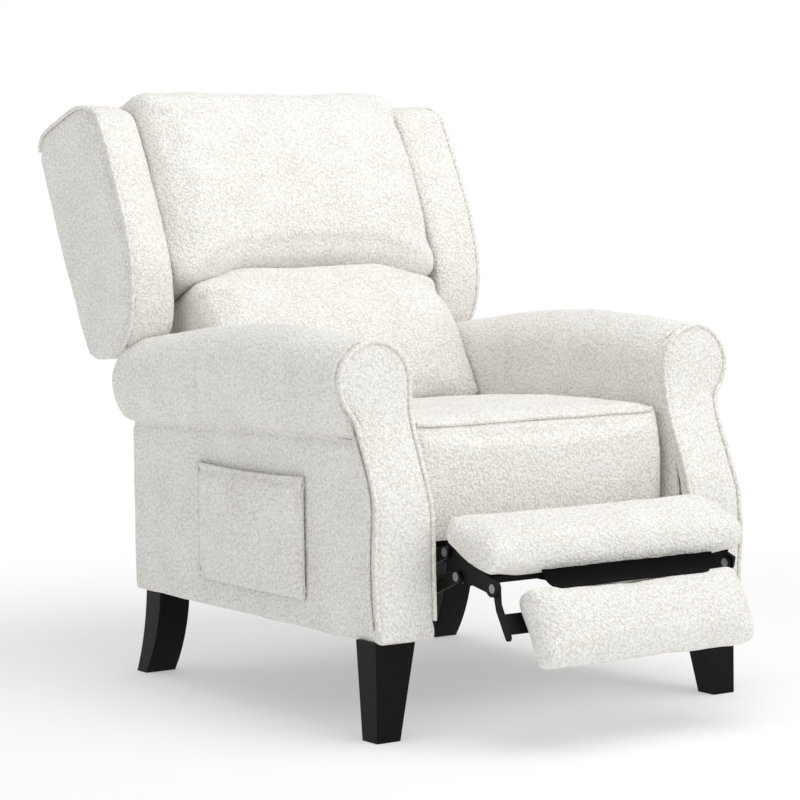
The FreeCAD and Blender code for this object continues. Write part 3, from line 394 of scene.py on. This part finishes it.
def mirrored(piece, name):
    """Copy of a piece, mirrored to the other side, with its faces pointing outwards."""
    mesh = piece.data.copy()
    shape = bmesh.new()
    shape.from_mesh(mesh)
    bmesh.ops.scale(shape, vec=(-1, 1, 1), verts=shape.verts)
    bmesh.ops.reverse_faces(shape, faces=shape.faces)
    shape.to_mesh(mesh)
    shape.free()
    return new_object(name, mesh)

# %% [markdown]
# ## Piping
#
# Piping is a thin cord in a strip of the same cloth, caught in a seam. Its line is laid on the finished surface,
# so that it never floats, and becomes a round tube.

# %% Lines, arcs and piping
def dense(points, step=0.004):
    """The same line with points no further apart than step."""
    line = [points[0]]
    for start, end in zip(points, points[1:]):
        count = max(1, int((end - start).length / step))
        line += [start.lerp(end, number / count) for number in range(1, count + 1)]
    return line


def arc(start, middle, end, count=10):
    """Points of the circle's arc through three points in a plane, without its last point."""
    first, second = middle - start, end - start
    normal = first.cross(second)
    to_centre = (normal.cross(first) * second.length_squared + second.cross(normal) * first.length_squared)
    centre = start + to_centre / (2 * normal.length_squared)
    arm = start - centre
    axis = normal.normalized()
    across = axis.cross(arm)
    reach = end - centre
    turn = math.atan2(reach.dot(across), reach.dot(arm)) % (2 * math.pi)
    return [centre + arm * math.cos(turn * k / count) + across * math.sin(turn * k / count) for k in range(count)]


def surface_of(piece):
    """Search tree of a piece's surface."""
    shape = bmesh.new()
    shape.from_mesh(piece.data)
    tree = BVHTree.FromBMesh(shape)
    shape.free()
    return tree


def laid_on(points, piece, lift):
    """The line moved onto the piece's surface and lifted off it by lift."""
    tree = surface_of(piece)
    line = []
    for point in dense(points, 0.006):
        spot, normal, _, _ = tree.find_nearest(point)
        line.append(spot + normal * lift)
    for _ in range(3):
        inner = [(a + b * 2 + c) / 4 for a, b, c in zip(line, line[1:], line[2:])]
        line = [line[0]] + inner + [line[-1]]
    return line


def cord_tube(name, points, radius):
    """Round cord of cloth along a line, as a mesh."""
    curve = bpy.data.curves.new(name, "CURVE")
    curve.dimensions = "3D"
    curve.bevel_depth = radius
    curve.bevel_resolution = 3
    curve.use_fill_caps = True
    spline = curve.splines.new("POLY")
    spline.points.add(len(points) - 1)
    for target, point in zip(spline.points, points):
        target.co = (*point, 1)
    holder = bpy.data.objects.new(name + "_line", curve)
    scene.collection.objects.link(holder)
    mesh = evaluated_mesh(holder)
    bpy.data.objects.remove(holder)
    return new_object(name, mesh)


def piping(name, points, host, body, lift=0.0012, radius=PIPING):
    """Piping sewn along an edge of its host: a covered cord that lies on the surface."""
    line = laid_on(points, host, lift)
    press(host, line, radius * 2.2, radius * 0.8)
    tube = cord_tube(name, line, radius)
    return dress(tube, body, piping_cloth)

# %% [markdown]
# ## Head and lumbar cushions
#
# The back has two pillows, sewn to each other along a line that drops at both sides, because the lower
# pillow has rounded shoulders. Both are blown up, and then the same bend moves both sides of the seam.

# %% Head and lumbar cushions
SEAM_UP = 0.082
SEAM_DROP = 0.026


def up_the_back(point):
    """How far up the back a point lies."""
    offset = point - BACK_DATUM
    return offset.y * math.sin(BACK_TILT) + offset.z * math.cos(BACK_TILT)


def drop_seam(piece):
    """Bend the pillows so that the seam between them drops at the sides."""
    down = on_back(0, 0, -1) - on_back(0, 0, 0)
    for vertex in piece.data.vertices:
        side = smooth((abs(vertex.co.x) - 0.12) / 0.13)
        near = math.exp(-((up_the_back(vertex.co) - SEAM_UP) / 0.07) ** 2)
        vertex.co = vertex.co + down * SEAM_DROP * side * near
    return piece


def settle_top(piece):
    """Let the top of the head cushion sink under its own cover."""
    down = on_back(0, 0, -1) - on_back(0, 0, 0)
    for vertex in piece.data.vertices:
        vertex.co = vertex.co + down * 0.019 * smooth((up_the_back(vertex.co) - 0.30) / 0.14)
    return piece


def fill_foot(piece):
    """Fill the lower corners of the lumbar cushion, which press on the seat and the arms."""
    for vertex in piece.data.vertices:
        side = smooth((abs(vertex.co.x) - 0.16) / 0.07)
        low = smooth((0.02 - up_the_back(vertex.co)) / 0.12)
        vertex.co.x += math.copysign(0.005, vertex.co.x) * side * low
        vertex.co.z -= 0.016 * side * smooth((-0.06 - up_the_back(vertex.co)) / 0.08)
    return piece


def between_arms(piece):
    """Flatten the sides where the arms press on them."""
    room = ARM_INNER - 0.0018
    for vertex in piece.data.vertices:
        vertex.co.x = max(-room, min(room, vertex.co.x))
    return piece


head = inflate(remesh(copy_of("head_cushion", "head_pillow"), VOXEL), (0.003, 0.006, 0.002))
head = settle_top(head)
head = rumple(divide(relax(drop_seam(head), 4)), 0.0034, 0.10, 1)
dress(head, "back", wool_boucle, stands_for=["head_cushion"])
lumbar = inflate(remesh(copy_of("lumbar_cushion", "lumbar_pillow"), VOXEL), (0.003, 0.006, 0.004))
lumbar = rumple(divide(relax(fill_foot(drop_seam(lumbar)), 4)), 0.0028, 0.09, 2)
lumbar = between_arms(lumbar)
dress(lumbar, "back", wool_boucle, stands_for=["lumbar_cushion"])

# %% [markdown]
# ## Seat cushion
#
# Foam in a boxed cover: a crowned top panel, a front border and piping between them. The piping lies on
# the swollen surface, and the cloth beside it is pressed in, as stitches pull it.

# %% Seat cushion with its piping
seat = inflate(remesh(copy_of("seat_cushion", "seat_pillow"), VOXEL), (0.0025, 0.004, 0.004))
seat = rumple(divide(relax(seat, 3)), 0.0010, 0.06, 3)
edge = [Vector((x / 100, -0.356, 0.4725 + 0.006 * (1 - (x / 23) ** 2))) for x in range(-23, 24)]
piping("seat_piping", edge, seat, "seat")
dress(seat, "seat", wool_boucle, stands_for=["seat_cushion"])

# %% [markdown]
# ## Cloth over the timber
#
# No bare timber shows on a finished chair. Black lining hides what is seen from below and through the links, and
# the chair's own cloth is wrapped round the rails at the back.

# %% Cloth around a timber node
LINING_LIFT = 0.0012


def lined(node, body, cloth=None):
    """Thin cloth around a timber node, a little larger than it: black lining unless another cloth is named."""
    cover = copy_of(node, node + "_lining")
    normals = [vertex.normal.copy() for vertex in cover.data.vertices]
    for vertex, normal in zip(cover.data.vertices, normals):
        vertex.co = vertex.co + normal * LINING_LIFT
    if cloth:
        return dress(cover, body, cloth)
    return dress(cover, body, lining)


lined("seat_box", "seat")
lined("upper_pad_board", "ottoman")
lined("lower_pad_board", "lower_footrest")
lined("left_arm_frame", "base")
lined("right_arm_frame", "base")
lined("rear_cross_rail", "base", wool_boucle)
lined("back_frame", "back", wool_boucle)

# %% [markdown]
# ## Wings
#
# A wing is a padded board. Its cover is in three panels, and piping joins the outer one to the border, along
# the top and the front.

# %% Outline of a wing
# corners as metres ahead of the back's datum and up it, and how far the inner edge is drawn back there
WING_CORNERS = [(0.000, 0.000, 0.000), (-0.015, 0.161, 0.000), (-0.021, 0.402, 0.000), (0.000, 0.425, 0.000),
                (0.148, 0.413, 0.005), (0.196, 0.389, 0.014), (0.214, 0.374, 0.017), (0.220, 0.302, 0.017),
                (0.224, 0.223, 0.017), (0.225, 0.151, 0.015), (0.216, 0.083, 0.009), (0.192, 0.027, 0.003),
                (0.157, -0.015, -0.006), (0.104, -0.036, -0.003), (0.033, -0.016, 0.000)]


def wing_ring(x, share, inset):
    """Closed outline of a wing at x. The share is 0 at the outer panel and 1 at the inner one."""
    line = []
    for start, end in zip(WING_CORNERS, WING_CORNERS[1:] + WING_CORNERS[:1]):
        count = max(1, round(math.dist(start[:2], end[:2]) / 0.012))
        first = Vector((start[0] - start[2] * share, start[1]))
        last = Vector((end[0] - end[2] * share, end[1]))
        line += [first.lerp(last, k / count) for k in range(count)]
    for _ in range(3):
        line = [(a + b * 2 + c) / 4 for a, b, c in zip(line[-1:] + line[:-1], line, line[1:] + line[:1])]
    ring = []
    for before, point, after in zip(line[-1:] + line[:-1], line, line[1:] + line[:1]):
        along = (after - before).normalized()
        ring.append(on_back(x, point.x + along.y * inset, point.y - along.x * inset))
    return ring

# %% [markdown]
# ## The two wings
#
# The outline is repeated at seven places across the wing, smaller at both ends, and bridged into a solid with
# soft edges. Beside the piping the cloth is drawn in, which leaves a shallow channel.

# %% Wings
# each station: x, share of the way to the inner panel, inset of the outline
WING_STATIONS = [(0.3610, 0.0, 0.004), (0.3595, 0.0, -0.001), (0.3540, 0.0, -0.002), (0.3200, 0.4, -0.002),
                 (0.2900, 0.8, -0.001), (0.2790, 1.0, 0.002), (0.2730, 1.0, 0.008)]
wing = bridged("right_wing_pad", [wing_ring(*station) for station in WING_STATIONS])
wing = relax(remesh(wing, VOXEL * 0.85), 1)
rim = wing_ring(0.3595, 0.0, 0.0020)
start = min(range(len(rim)), key=lambda k: (rim[k] - on_back(0.359, -0.021, 0.402)).length)
end = min(range(len(rim)), key=lambda k: (rim[k] - on_back(0.359, 0.104, -0.036)).length)
rim = rim[start:end]
set_back = on_back(0, -0.015, 0) - on_back(0, 0, 0)
press(wing, [point + set_back for point in rim[len(rim) // 3:]], 0.014, 0.0085)
wing = rumple(divide(wing), 0.0012, 0.06, 4)
right_piping = piping("right_wing_piping", rim, wing, "back")
left = mirrored(wing, "left_wing_pad")
dress(mirrored(right_piping, "left_wing_piping"), "back", piping_cloth)
dress(wing, "back", wool_boucle, stands_for=["right_wing"])
dress(left, "back", wool_boucle, stands_for=["left_wing"])

# %% [markdown]
# ## Arms
#
# A rolled arm has four covers: the roll with the inside arm, the flat outside panel, the rear return, and
# the facing, which is a padded board cut to the scroll. Rings of points are bridged for the roll.

# %% The roll over an arm
# each station: y, height of the top, height of the outer seam, how far the sides are drawn in
ROLL_STATIONS = [(-0.356, 0.602, 0.452, 0.0), (-0.270, 0.611, 0.450, 0.0), (-0.126, 0.619, 0.449, 0.0),
                 (0.000, 0.617, 0.446, 0.0), (0.061, 0.613, 0.444, 0.0), (0.100, 0.608, 0.442, 0.0),
                 (0.200, 0.597, 0.440, 0.0), (0.260, 0.590, 0.437, 0.0), (0.300, 0.585, 0.436, 0.0),
                 (0.335, 0.582, 0.436, 0.0), (0.362, 0.575, 0.436, 0.001), (0.374, 0.564, 0.440, 0.006),
                 (0.380, 0.548, 0.448, 0.016)]


def roll_ring(y, top, seam, draw):
    """Section of the roll: a tucked lower side, a round top and a straight inner side."""
    widest = ROLL_Z - 0.030 * smooth((y - 0.1) / 0.27)
    outer = Vector((ROLL_X + ROLL_RADIUS - draw, y, widest))
    inner = Vector((ROLL_X - ROLL_RADIUS + draw, y, widest))
    crest = Vector((ROLL_X, y, top))
    half = math.sqrt(0.5)
    reach = ROLL_RADIUS - draw
    rise = top - outer.z
    foot = Vector((ARM_OUTER - draw, y, seam))
    heel = Vector((inner.x + 0.001, y, seam))
    tuck = Vector((ARM_OUTER + 0.020 - draw, y, seam + (outer.z - seam) * 0.38))
    ring = arc(foot, tuck, outer, 8)
    ring += arc(outer, Vector((ROLL_X + reach * half, y, outer.z + rise * half)), crest, 8)
    ring += arc(crest, Vector((ROLL_X - reach * half, y, outer.z + rise * half)), inner, 8)
    ring += [inner.lerp(heel, k / 4) for k in range(4)] + [heel.lerp(foot, k / 5) for k in range(5)]
    return ring


roll = remesh(bridged("right_arm_roll", [roll_ring(*station) for station in ROLL_STATIONS]), VOXEL)
roll = rumple(divide(relax(roll, 2)), 0.0014, 0.07, 5)
seam_ring = roll_ring(0.075, 0.6135, 0.4435, 0.0)[6:27]
press(roll, dense(seam_ring), 0.0030, 0.0036)
side_seam = dense([Vector((ARM_OUTER, y, seam - 0.001)) for y, _, seam, _ in ROLL_STATIONS[:-2]])
press(roll, side_seam, 0.0065, 0.0040)

# %% [markdown]
# ## The facings
#
# The front of each arm is a padded board cut to the scroll, and it follows an S-curve seen from the side. The
# outline is drawn once from the front, and each of its points is then moved back to the curve.

# %% The facing of an arm
def facing_front(z):
    """Where the S-curved front of an arm is at height z."""
    return FACING_LOW_Y + (FACING_HIGH_Y - FACING_LOW_Y) * smooth((z - 0.320) / 0.195)


def facing_outline():
    """Scroll seen from the front, from the inner foot up over the roll and down to the outer foot."""
    radius = ROLL_RADIUS + 0.002
    inner = ARM_INNER - 0.001
    neck = Vector((ROLL_X + radius * math.sin(math.radians(42)) - 0.004, 0,
                   ROLL_Z - radius * math.cos(math.radians(42))))
    half = radius * math.sqrt(0.5)
    shoulder = Vector((inner, 0, ROLL_Z - radius * 0.45))
    line = [Vector((inner, 0, ARM_BOTTOM)).lerp(shoulder, k / 12) for k in range(12)]
    line += arc(shoulder, Vector((ROLL_X - radius, 0, ROLL_Z)), Vector((ROLL_X - half, 0, ROLL_Z + half)), 8)
    line += arc(Vector((ROLL_X - half, 0, ROLL_Z + half)), Vector((ROLL_X, 0, ROLL_Z + radius)),
                Vector((ROLL_X + half, 0, ROLL_Z + half)), 10)
    line += arc(Vector((ROLL_X + half, 0, ROLL_Z + half)), Vector((ROLL_X + radius, 0, ROLL_Z)), neck, 10)
    line += arc(neck, Vector((ARM_OUTER + 0.001, 0, 0.415)), Vector((ARM_OUTER + 0.009, 0, 0.320)), 10)
    line += arc(Vector((ARM_OUTER + 0.009, 0, 0.320)), Vector((ARM_OUTER + 0.010, 0, 0.225)),
                Vector((ARM_OUTER + 0.003, 0, ARM_BOTTOM)), 8)
    line.append(Vector((ARM_OUTER + 0.003, 0, ARM_BOTTOM)))
    return line


def at_depth(line, back):
    """The line set on the arm's S-curve, moved back by back."""
    return [Vector((point.x, facing_front(point.z) + back, point.z)) for point in line]


outline = facing_outline()
closed = outline + [outline[-1].lerp(outline[0], k / 6) for k in range(1, 6)]
facing = bridged("right_arm_front", [at_depth(closed, depth) for depth in (0, FACING_THICK / 2, FACING_THICK)])
facing = remesh(facing, VOXEL * 0.8)
facing = rumple(divide(relax(facing, 2)), 0.0006, 0.05, 6)
front_piping = piping("right_front_piping", at_depth(outline[1:-1], 0.0015), facing, "base", 0.0010)
rear_piping = piping("right_rear_piping", at_depth(outline[20:-1], 0.0180), facing, "base", 0.0016, PIPING * 0.85)

# %% [markdown]
# ## Flat panels of an arm
#
# The sides of the arm are flat covers over thin board. Each is an outline given a thickness, with its edges
# softened. The left arm's pieces are mirrored from the right arm's.

# %% Outside, inside and rear panels of an arm
def panel(name, corners, thickness, axis=0):
    """Padded board: an outline of corners, given its thickness along one axis."""
    shape = bmesh.new()
    face = shape.faces.new([shape.verts.new(corner) for corner in corners])
    push = Vector((0, 0, 0))
    push[axis] = thickness
    voxel = min(VOXEL, abs(thickness))
    grown = bmesh.ops.extrude_face_region(shape, geom=[face])
    moved = [item for item in grown["geom"] if isinstance(item, bmesh.types.BMVert)]
    bmesh.ops.translate(shape, verts=moved, vec=push)
    bmesh.ops.recalc_face_normals(shape, faces=shape.faces)
    mesh = bpy.data.meshes.new(name)
    shape.to_mesh(mesh)
    shape.free()
    return remesh(new_object(name, mesh), voxel)


front_line = [Vector((0.3325, facing_front(z / 1000) + 0.014, z / 1000)) for z in range(149, 468, 18)]
rear_line = [Vector((0.3325, ARM_REAR, 0.467)), Vector((0.3325, ARM_REAR, ARM_BOTTOM))]
outside = relax(panel("right_outside_panel", front_line + rear_line, 0.0125), 2)
outside = divide(outside)
press(outside, side_seam, 0.0065, 0.0040)
outside = rumple(outside, 0.0012, 0.07, 7)
inside = panel("right_inside_panel", [Vector((0.2505, y, z)) for y, z in (
    (-0.400, 0.236), (-0.385, 0.400), (-0.360, 0.460), (0.348, 0.455), (0.348, 0.236))], 0.012)
inside = divide(relax(inside, 1))
wrap = panel("right_inner_wrap", [Vector((0.2476, y, z)) for y, z in (
    (-0.404, 0.149), (-0.404, 0.240), (-0.160, 0.240), (-0.160, 0.149))], 0.0024)
rear = panel("right_rear_return", [Vector((x, 0.338, z)) for x, z in (
    (0.2505, 0.150), (0.3415, 0.150), (0.3415, 0.460), (0.2505, 0.460))], 0.013, 1)
rear = divide(relax(rear, 2))

arm_pieces = [(roll, "arm_roll", 0.9, "arm_cover"), (outside, "outside_panel", 0.5, "arm_cover"),
              (inside, "inside_panel", 0.5, "arm_cover"), (rear, "rear_return", 0.4, "arm_cover"),
              (wrap, "inner_wrap", 0.1, "arm_cover"), (facing, "arm_front", 0.7, "arm_facing")]
for piece, name, fill, stands in arm_pieces:
    twin = mirrored(piece, "left_" + name)
    dress(piece, "base", wool_boucle, stands_for=["right_" + stands])
    dress(twin, "base", wool_boucle, stands_for=["left_" + stands])
dress(mirrored(front_piping, "left_front_piping"), "base", piping_cloth)
dress(mirrored(rear_piping, "left_rear_piping"), "base", piping_cloth)

# %% [markdown]
# ## Footrest pads, outer back and rear valance
#
# The pads are small stuffed boards with soft corners. The outer back is a flat panel over timber, so it only
# bows a little.

# %% Pads, outer back and rear valance
for side, fill, seed in (("upper", 0.9, 8), ("lower", 0.9, 9)):
    pad = inflate(remesh(copy_of(side + "_pad", side + "_footrest"), VOXEL * 0.8), (0.003, 0.010, 0.010), 8.0)
    pad = rumple(divide(relax(pad, 6)), 0.0014, 0.05, seed)
    dress(pad, "ottoman" if side == "upper" else "lower_footrest", wool_boucle, stands_for=[side + "_pad"])
back_skin = remesh(copy_of("outer_back_panel", "outer_back"), VOXEL * 1.5)
dress(rumple(divide(relax(back_skin, 1)), 0.0012, 0.08, 10), "back", wool_boucle,
      stands_for=["outer_back_panel"])
# corners of the strip beside the back's lower end, as metres ahead of the datum and up from it
BACK_SIDE = ((-0.012, 0.03), (0.066, 0.03), (0.066, -0.249), (-0.012, -0.249))
for side, name in ((-1, "left"), (1, "right")):
    strip_edge = [on_back(side * 0.2415, ahead, up) for ahead, up in BACK_SIDE]
    skin = relax(panel(name + "_back_side", strip_edge, side * 0.0055), 1)
    dress(divide(skin), "back", wool_boucle, stands_for=["outer_back_panel"])
valance = remesh(copy_of("rear_panel", "rear_valance"), VOXEL)
dress(divide(relax(valance, 2)), "base", wool_boucle, stands_for=["rear_panel"])

# %% [markdown]
# ## Side pocket
#
# The pocket is one piece of cloth, gathered on an elastic at its mouth. The gathers start at the elastic and
# fade towards the bottom, where the cloth folds under. A grid is moved by a formula, then given its thickness.

# %% Side pocket
POCKET_FRONT, POCKET_REAR = -0.215, 0.115
POCKET_LOW, POCKET_HIGH = 0.195, 0.387
# each gather: share along the mouth, width, depth, how far down it runs
GATHERS = [(0.10, 0.013, 0.0050, 0.045), (0.27, 0.012, 0.0085, 0.075), (0.41, 0.009, 0.0100, 0.115),
           (0.52, 0.008, 0.0090, 0.130), (0.63, 0.010, 0.0095, 0.105), (0.76, 0.009, 0.0060, 0.060),
           (0.88, 0.012, 0.0045, 0.045)]


def pocket_depth(along, height):
    """How far the pocket's cloth stands out from the arm: along is 0 at the front, height in metres."""
    width = POCKET_REAR - POCKET_FRONT
    edge = min(along, 1 - along) * width
    low = height - POCKET_LOW
    down = POCKET_HIGH - height
    belly = 0.0075 * smooth(edge / 0.030) * smooth((low + 0.004) / 0.030) * (0.45 + 0.55 * smooth(down / 0.10))
    sag = 0.003 * smooth(down / 0.03) * math.sin(math.pi * along)
    folds = 0
    for share, wide, deep, reach in GATHERS:
        spread = wide * (0.55 + 0.8 * down / reach)
        offset = (along - share) * width + 0.10 * down * (share - 0.5)
        folds += 1.5 * deep * math.exp(-(offset / spread) ** 2) * math.exp(-(down / reach) ** 1.5)
    folds *= smooth((down - 0.006) / 0.012)
    puckers = 0.0012 * math.sin(along * 120) * math.exp(-(abs(down - 0.004) / 0.008) ** 2)
    band = -0.0030 * math.exp(-((down - 0.013) / 0.004) ** 2)
    hem = -0.0020 * math.exp(-((low - 0.016) / 0.004) ** 2)
    return 0.0030 + belly + sag + (folds + puckers) * smooth(edge / 0.02) + band + hem


def pocket_sheet(name):
    """The pocket's cloth as a grid on the left arm."""
    shape = bmesh.new()
    bmesh.ops.create_grid(shape, x_segments=132, y_segments=76, size=0.5)
    for vertex in shape.verts:
        along, share = vertex.co.x + 0.5, vertex.co.y + 0.5
        height = POCKET_LOW + (POCKET_HIGH - POCKET_LOW) * share - 0.004 * math.sin(math.pi * along) * share
        y = POCKET_FRONT + (POCKET_REAR - POCKET_FRONT) * along
        vertex.co = Vector((-ARM_OUTER - 0.0035 - pocket_depth(along, height), y, height))
    bmesh.ops.recalc_face_normals(shape, faces=shape.faces)
    mesh = bpy.data.meshes.new(name)
    shape.to_mesh(mesh)
    shape.free()
    piece = new_object(name, mesh)
    if piece.data.polygons[0].normal.x > 0:
        piece.data.flip_normals()
    solid = piece.modifiers.new("Solidify", "SOLIDIFY")
    solid.thickness = 0.0025
    solid.offset = -1
    return apply_modifiers(piece)


pocket = pocket_sheet("pocket_cloth")
dress(pocket, "base", wool_boucle, stands_for=["side_pocket"])
for name, y in (("pocket_front_seam", POCKET_FRONT + 0.004), ("pocket_rear_seam", POCKET_REAR - 0.004)):
    line = [Vector((-ARM_OUTER - 0.0075, y, POCKET_LOW + (POCKET_HIGH - POCKET_LOW) * k / 24)) for k in range(25)]
    dress(cord_tube(name, line, 0.0030), "base", piping_cloth)

# %% [markdown]
# ## Lining between the pads
#
# A strip of black cloth closes the gap between the two pads, so that nothing falls into the links. It is sewn
# to both, and hangs with a little slack from the upper pad's board to the lower pad's.

# %% Lining strip
LINING_LEFT, LINING_RIGHT = -0.142, 0.186
lining_top = Vector((0, -0.548, 0.262))
lining_low = Vector((0, -0.590, 0.236))


def lining_strip(name):
    """Slack strip of cloth from the upper pad's board to the lower pad's."""
    shape = bmesh.new()
    bmesh.ops.create_grid(shape, x_segments=40, y_segments=12, size=0.5)
    for vertex in shape.verts:
        share = vertex.co.y + 0.5
        slack = 0.006 * math.sin(math.pi * share)
        spot = lining_top.lerp(lining_low, share)
        across = LINING_LEFT + (LINING_RIGHT - LINING_LEFT) * (vertex.co.x + 0.5)
        vertex.co = Vector((across, spot.y + slack, spot.z - slack))
    mesh = bpy.data.meshes.new(name)
    shape.to_mesh(mesh)
    shape.free()
    piece = new_object(name, mesh)
    solid = piece.modifiers.new("Solidify", "SOLIDIFY")
    solid.thickness = 0.0012
    return apply_modifiers(piece)


strip = lining_strip("pad_lining")
strip.data.materials.append(lining)
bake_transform(strip)

# %% [markdown]
# ## Floor, lights and camera
#
# The floor is plain pale paper with a painted glow mixed in, which lightens its shade near the chair and turns it an
# even white further away. A large soft light hangs over the chair, and two weaker ones fill the front
# and the side, so the top surfaces are the brightest and the folds stay visible.

# %% Floor and world
floor_shape = bmesh.new()
bmesh.ops.create_grid(floor_shape, x_segments=1, y_segments=1, size=30)
floor_mesh = bpy.data.meshes.new("studio_floor")
floor_shape.to_mesh(floor_mesh)
floor_shape.free()
floor = new_object("studio_floor", floor_mesh)
paper, spot = new_material("white_paper_and_painted_glow")
grain = add(paper, "ShaderNodeTexNoise", {"Scale": 1 / 0.002}, {"Vector": spot})
tone = ramp(paper, grain.outputs["Fac"], [(0.3, "#FAFAFA"), (0.7, "#FDFDFD")])
matt = add(paper, "ShaderNodeBsdfDiffuse", {}, {"Color": tone})
# Painted glow: the floor shines white by itself. Just over a third of it is glow near the chair, which lightens the
# floor's shade there, and all of it is glow from 1.9 m out.
glow = add(paper, "ShaderNodeEmission", {"Color": linear("#FFFFFF"), "Strength": 1.0})
away = add(paper, "ShaderNodeVectorMath", {"operation": "LENGTH"}, {0: spot})
share = add(paper, "ShaderNodeMapRange", {"interpolation_type": "SMOOTHSTEP", "From Min": 0.7, "From Max": 1.9,
                                          "To Min": 0.36, "To Max": 1.0}, {"Value": away.outputs["Value"]})
paper_and_painted_glow = add(paper, "ShaderNodeMixShader", {}, {0: share.outputs[0], 1: matt.outputs[0], 2: glow.outputs[0]})
floor.data.materials.append(finish_material(paper, paper_and_painted_glow))

world = bpy.data.worlds.new("studio")
scene.world = world
world.use_nodes = True
world.node_tree.nodes.clear()
seen = add(world, "ShaderNodeLightPath")
ambient = add(world, "ShaderNodeBackground", {"Color": linear("#FFFFFF"), "Strength": 0.62})
white = add(world, "ShaderNodeBackground", {"Color": linear("#FFFFFF"), "Strength": 1.0})
rays = add(world, "ShaderNodeMath", {"operation": "MAXIMUM"},
           {0: seen.outputs["Is Camera Ray"], 1: seen.outputs["Is Glossy Ray"]})
both = add(world, "ShaderNodeMixShader", {}, {0: rays.outputs[0], 1: ambient.outputs[0], 2: white.outputs[0]})
add(world, "ShaderNodeOutputWorld", {}, {"Surface": both.outputs[0]})

# %% [markdown]
# ## Lamps
#
# Three square lamps aim at the middle of the chair. The one overhead does most of the work, and its size keeps the
# shadow under the chair soft.

# %% Lights
def soft_light(name, place, power, size):
    """Square lamp aimed at the middle of the chair."""
    lamp = bpy.data.lights.new(name, "AREA")
    lamp.energy = power
    lamp.size = size
    holder = bpy.data.objects.new(name, lamp)
    scene.collection.objects.link(holder)
    holder.location = place
    holder.rotation_euler = (Vector((0, 0, 0.45)) - Vector(place)).to_track_quat("-Z", "Y").to_euler()
    return holder


soft_light("overhead_softbox", (0.3, -0.9, 3.2), 46, 2.6)
soft_light("front_fill", (1.4, -4.2, 1.6), 40, 2.2)
soft_light("side_fill", (-3.6, -0.6, 1.4), 3, 2.0)

# %% [markdown]
# ## Camera
#
# The camera stands where the photograph was taken from: low, ahead of the chair and to its left, with a long lens.
# It is set by the way it looks, and then turned a little about that line.

# %% Camera at the photograph's place
yaw, pitch, roll_angle = math.radians(33.7), math.radians(-4.4), math.radians(-0.8)
lens = bpy.data.cameras.new("studio_camera")
lens.lens = 124.2
lens.sensor_width = 36
camera = bpy.data.objects.new("studio_camera", lens)
scene.collection.objects.link(camera)
forward = Vector((math.sin(yaw) * math.cos(pitch), math.cos(yaw) * math.cos(pitch), math.sin(pitch)))
camera.location = (-2.576, -3.826, 0.830)
camera.rotation_euler = forward.to_track_quat("-Z", "Y").to_euler()
camera.rotation_euler.rotate_axis("Z", roll_angle)
scene.camera = camera
print("camera:", [round(math.degrees(angle), 2) for angle in camera.rotation_euler])
scene.view_settings.view_transform = "Standard"
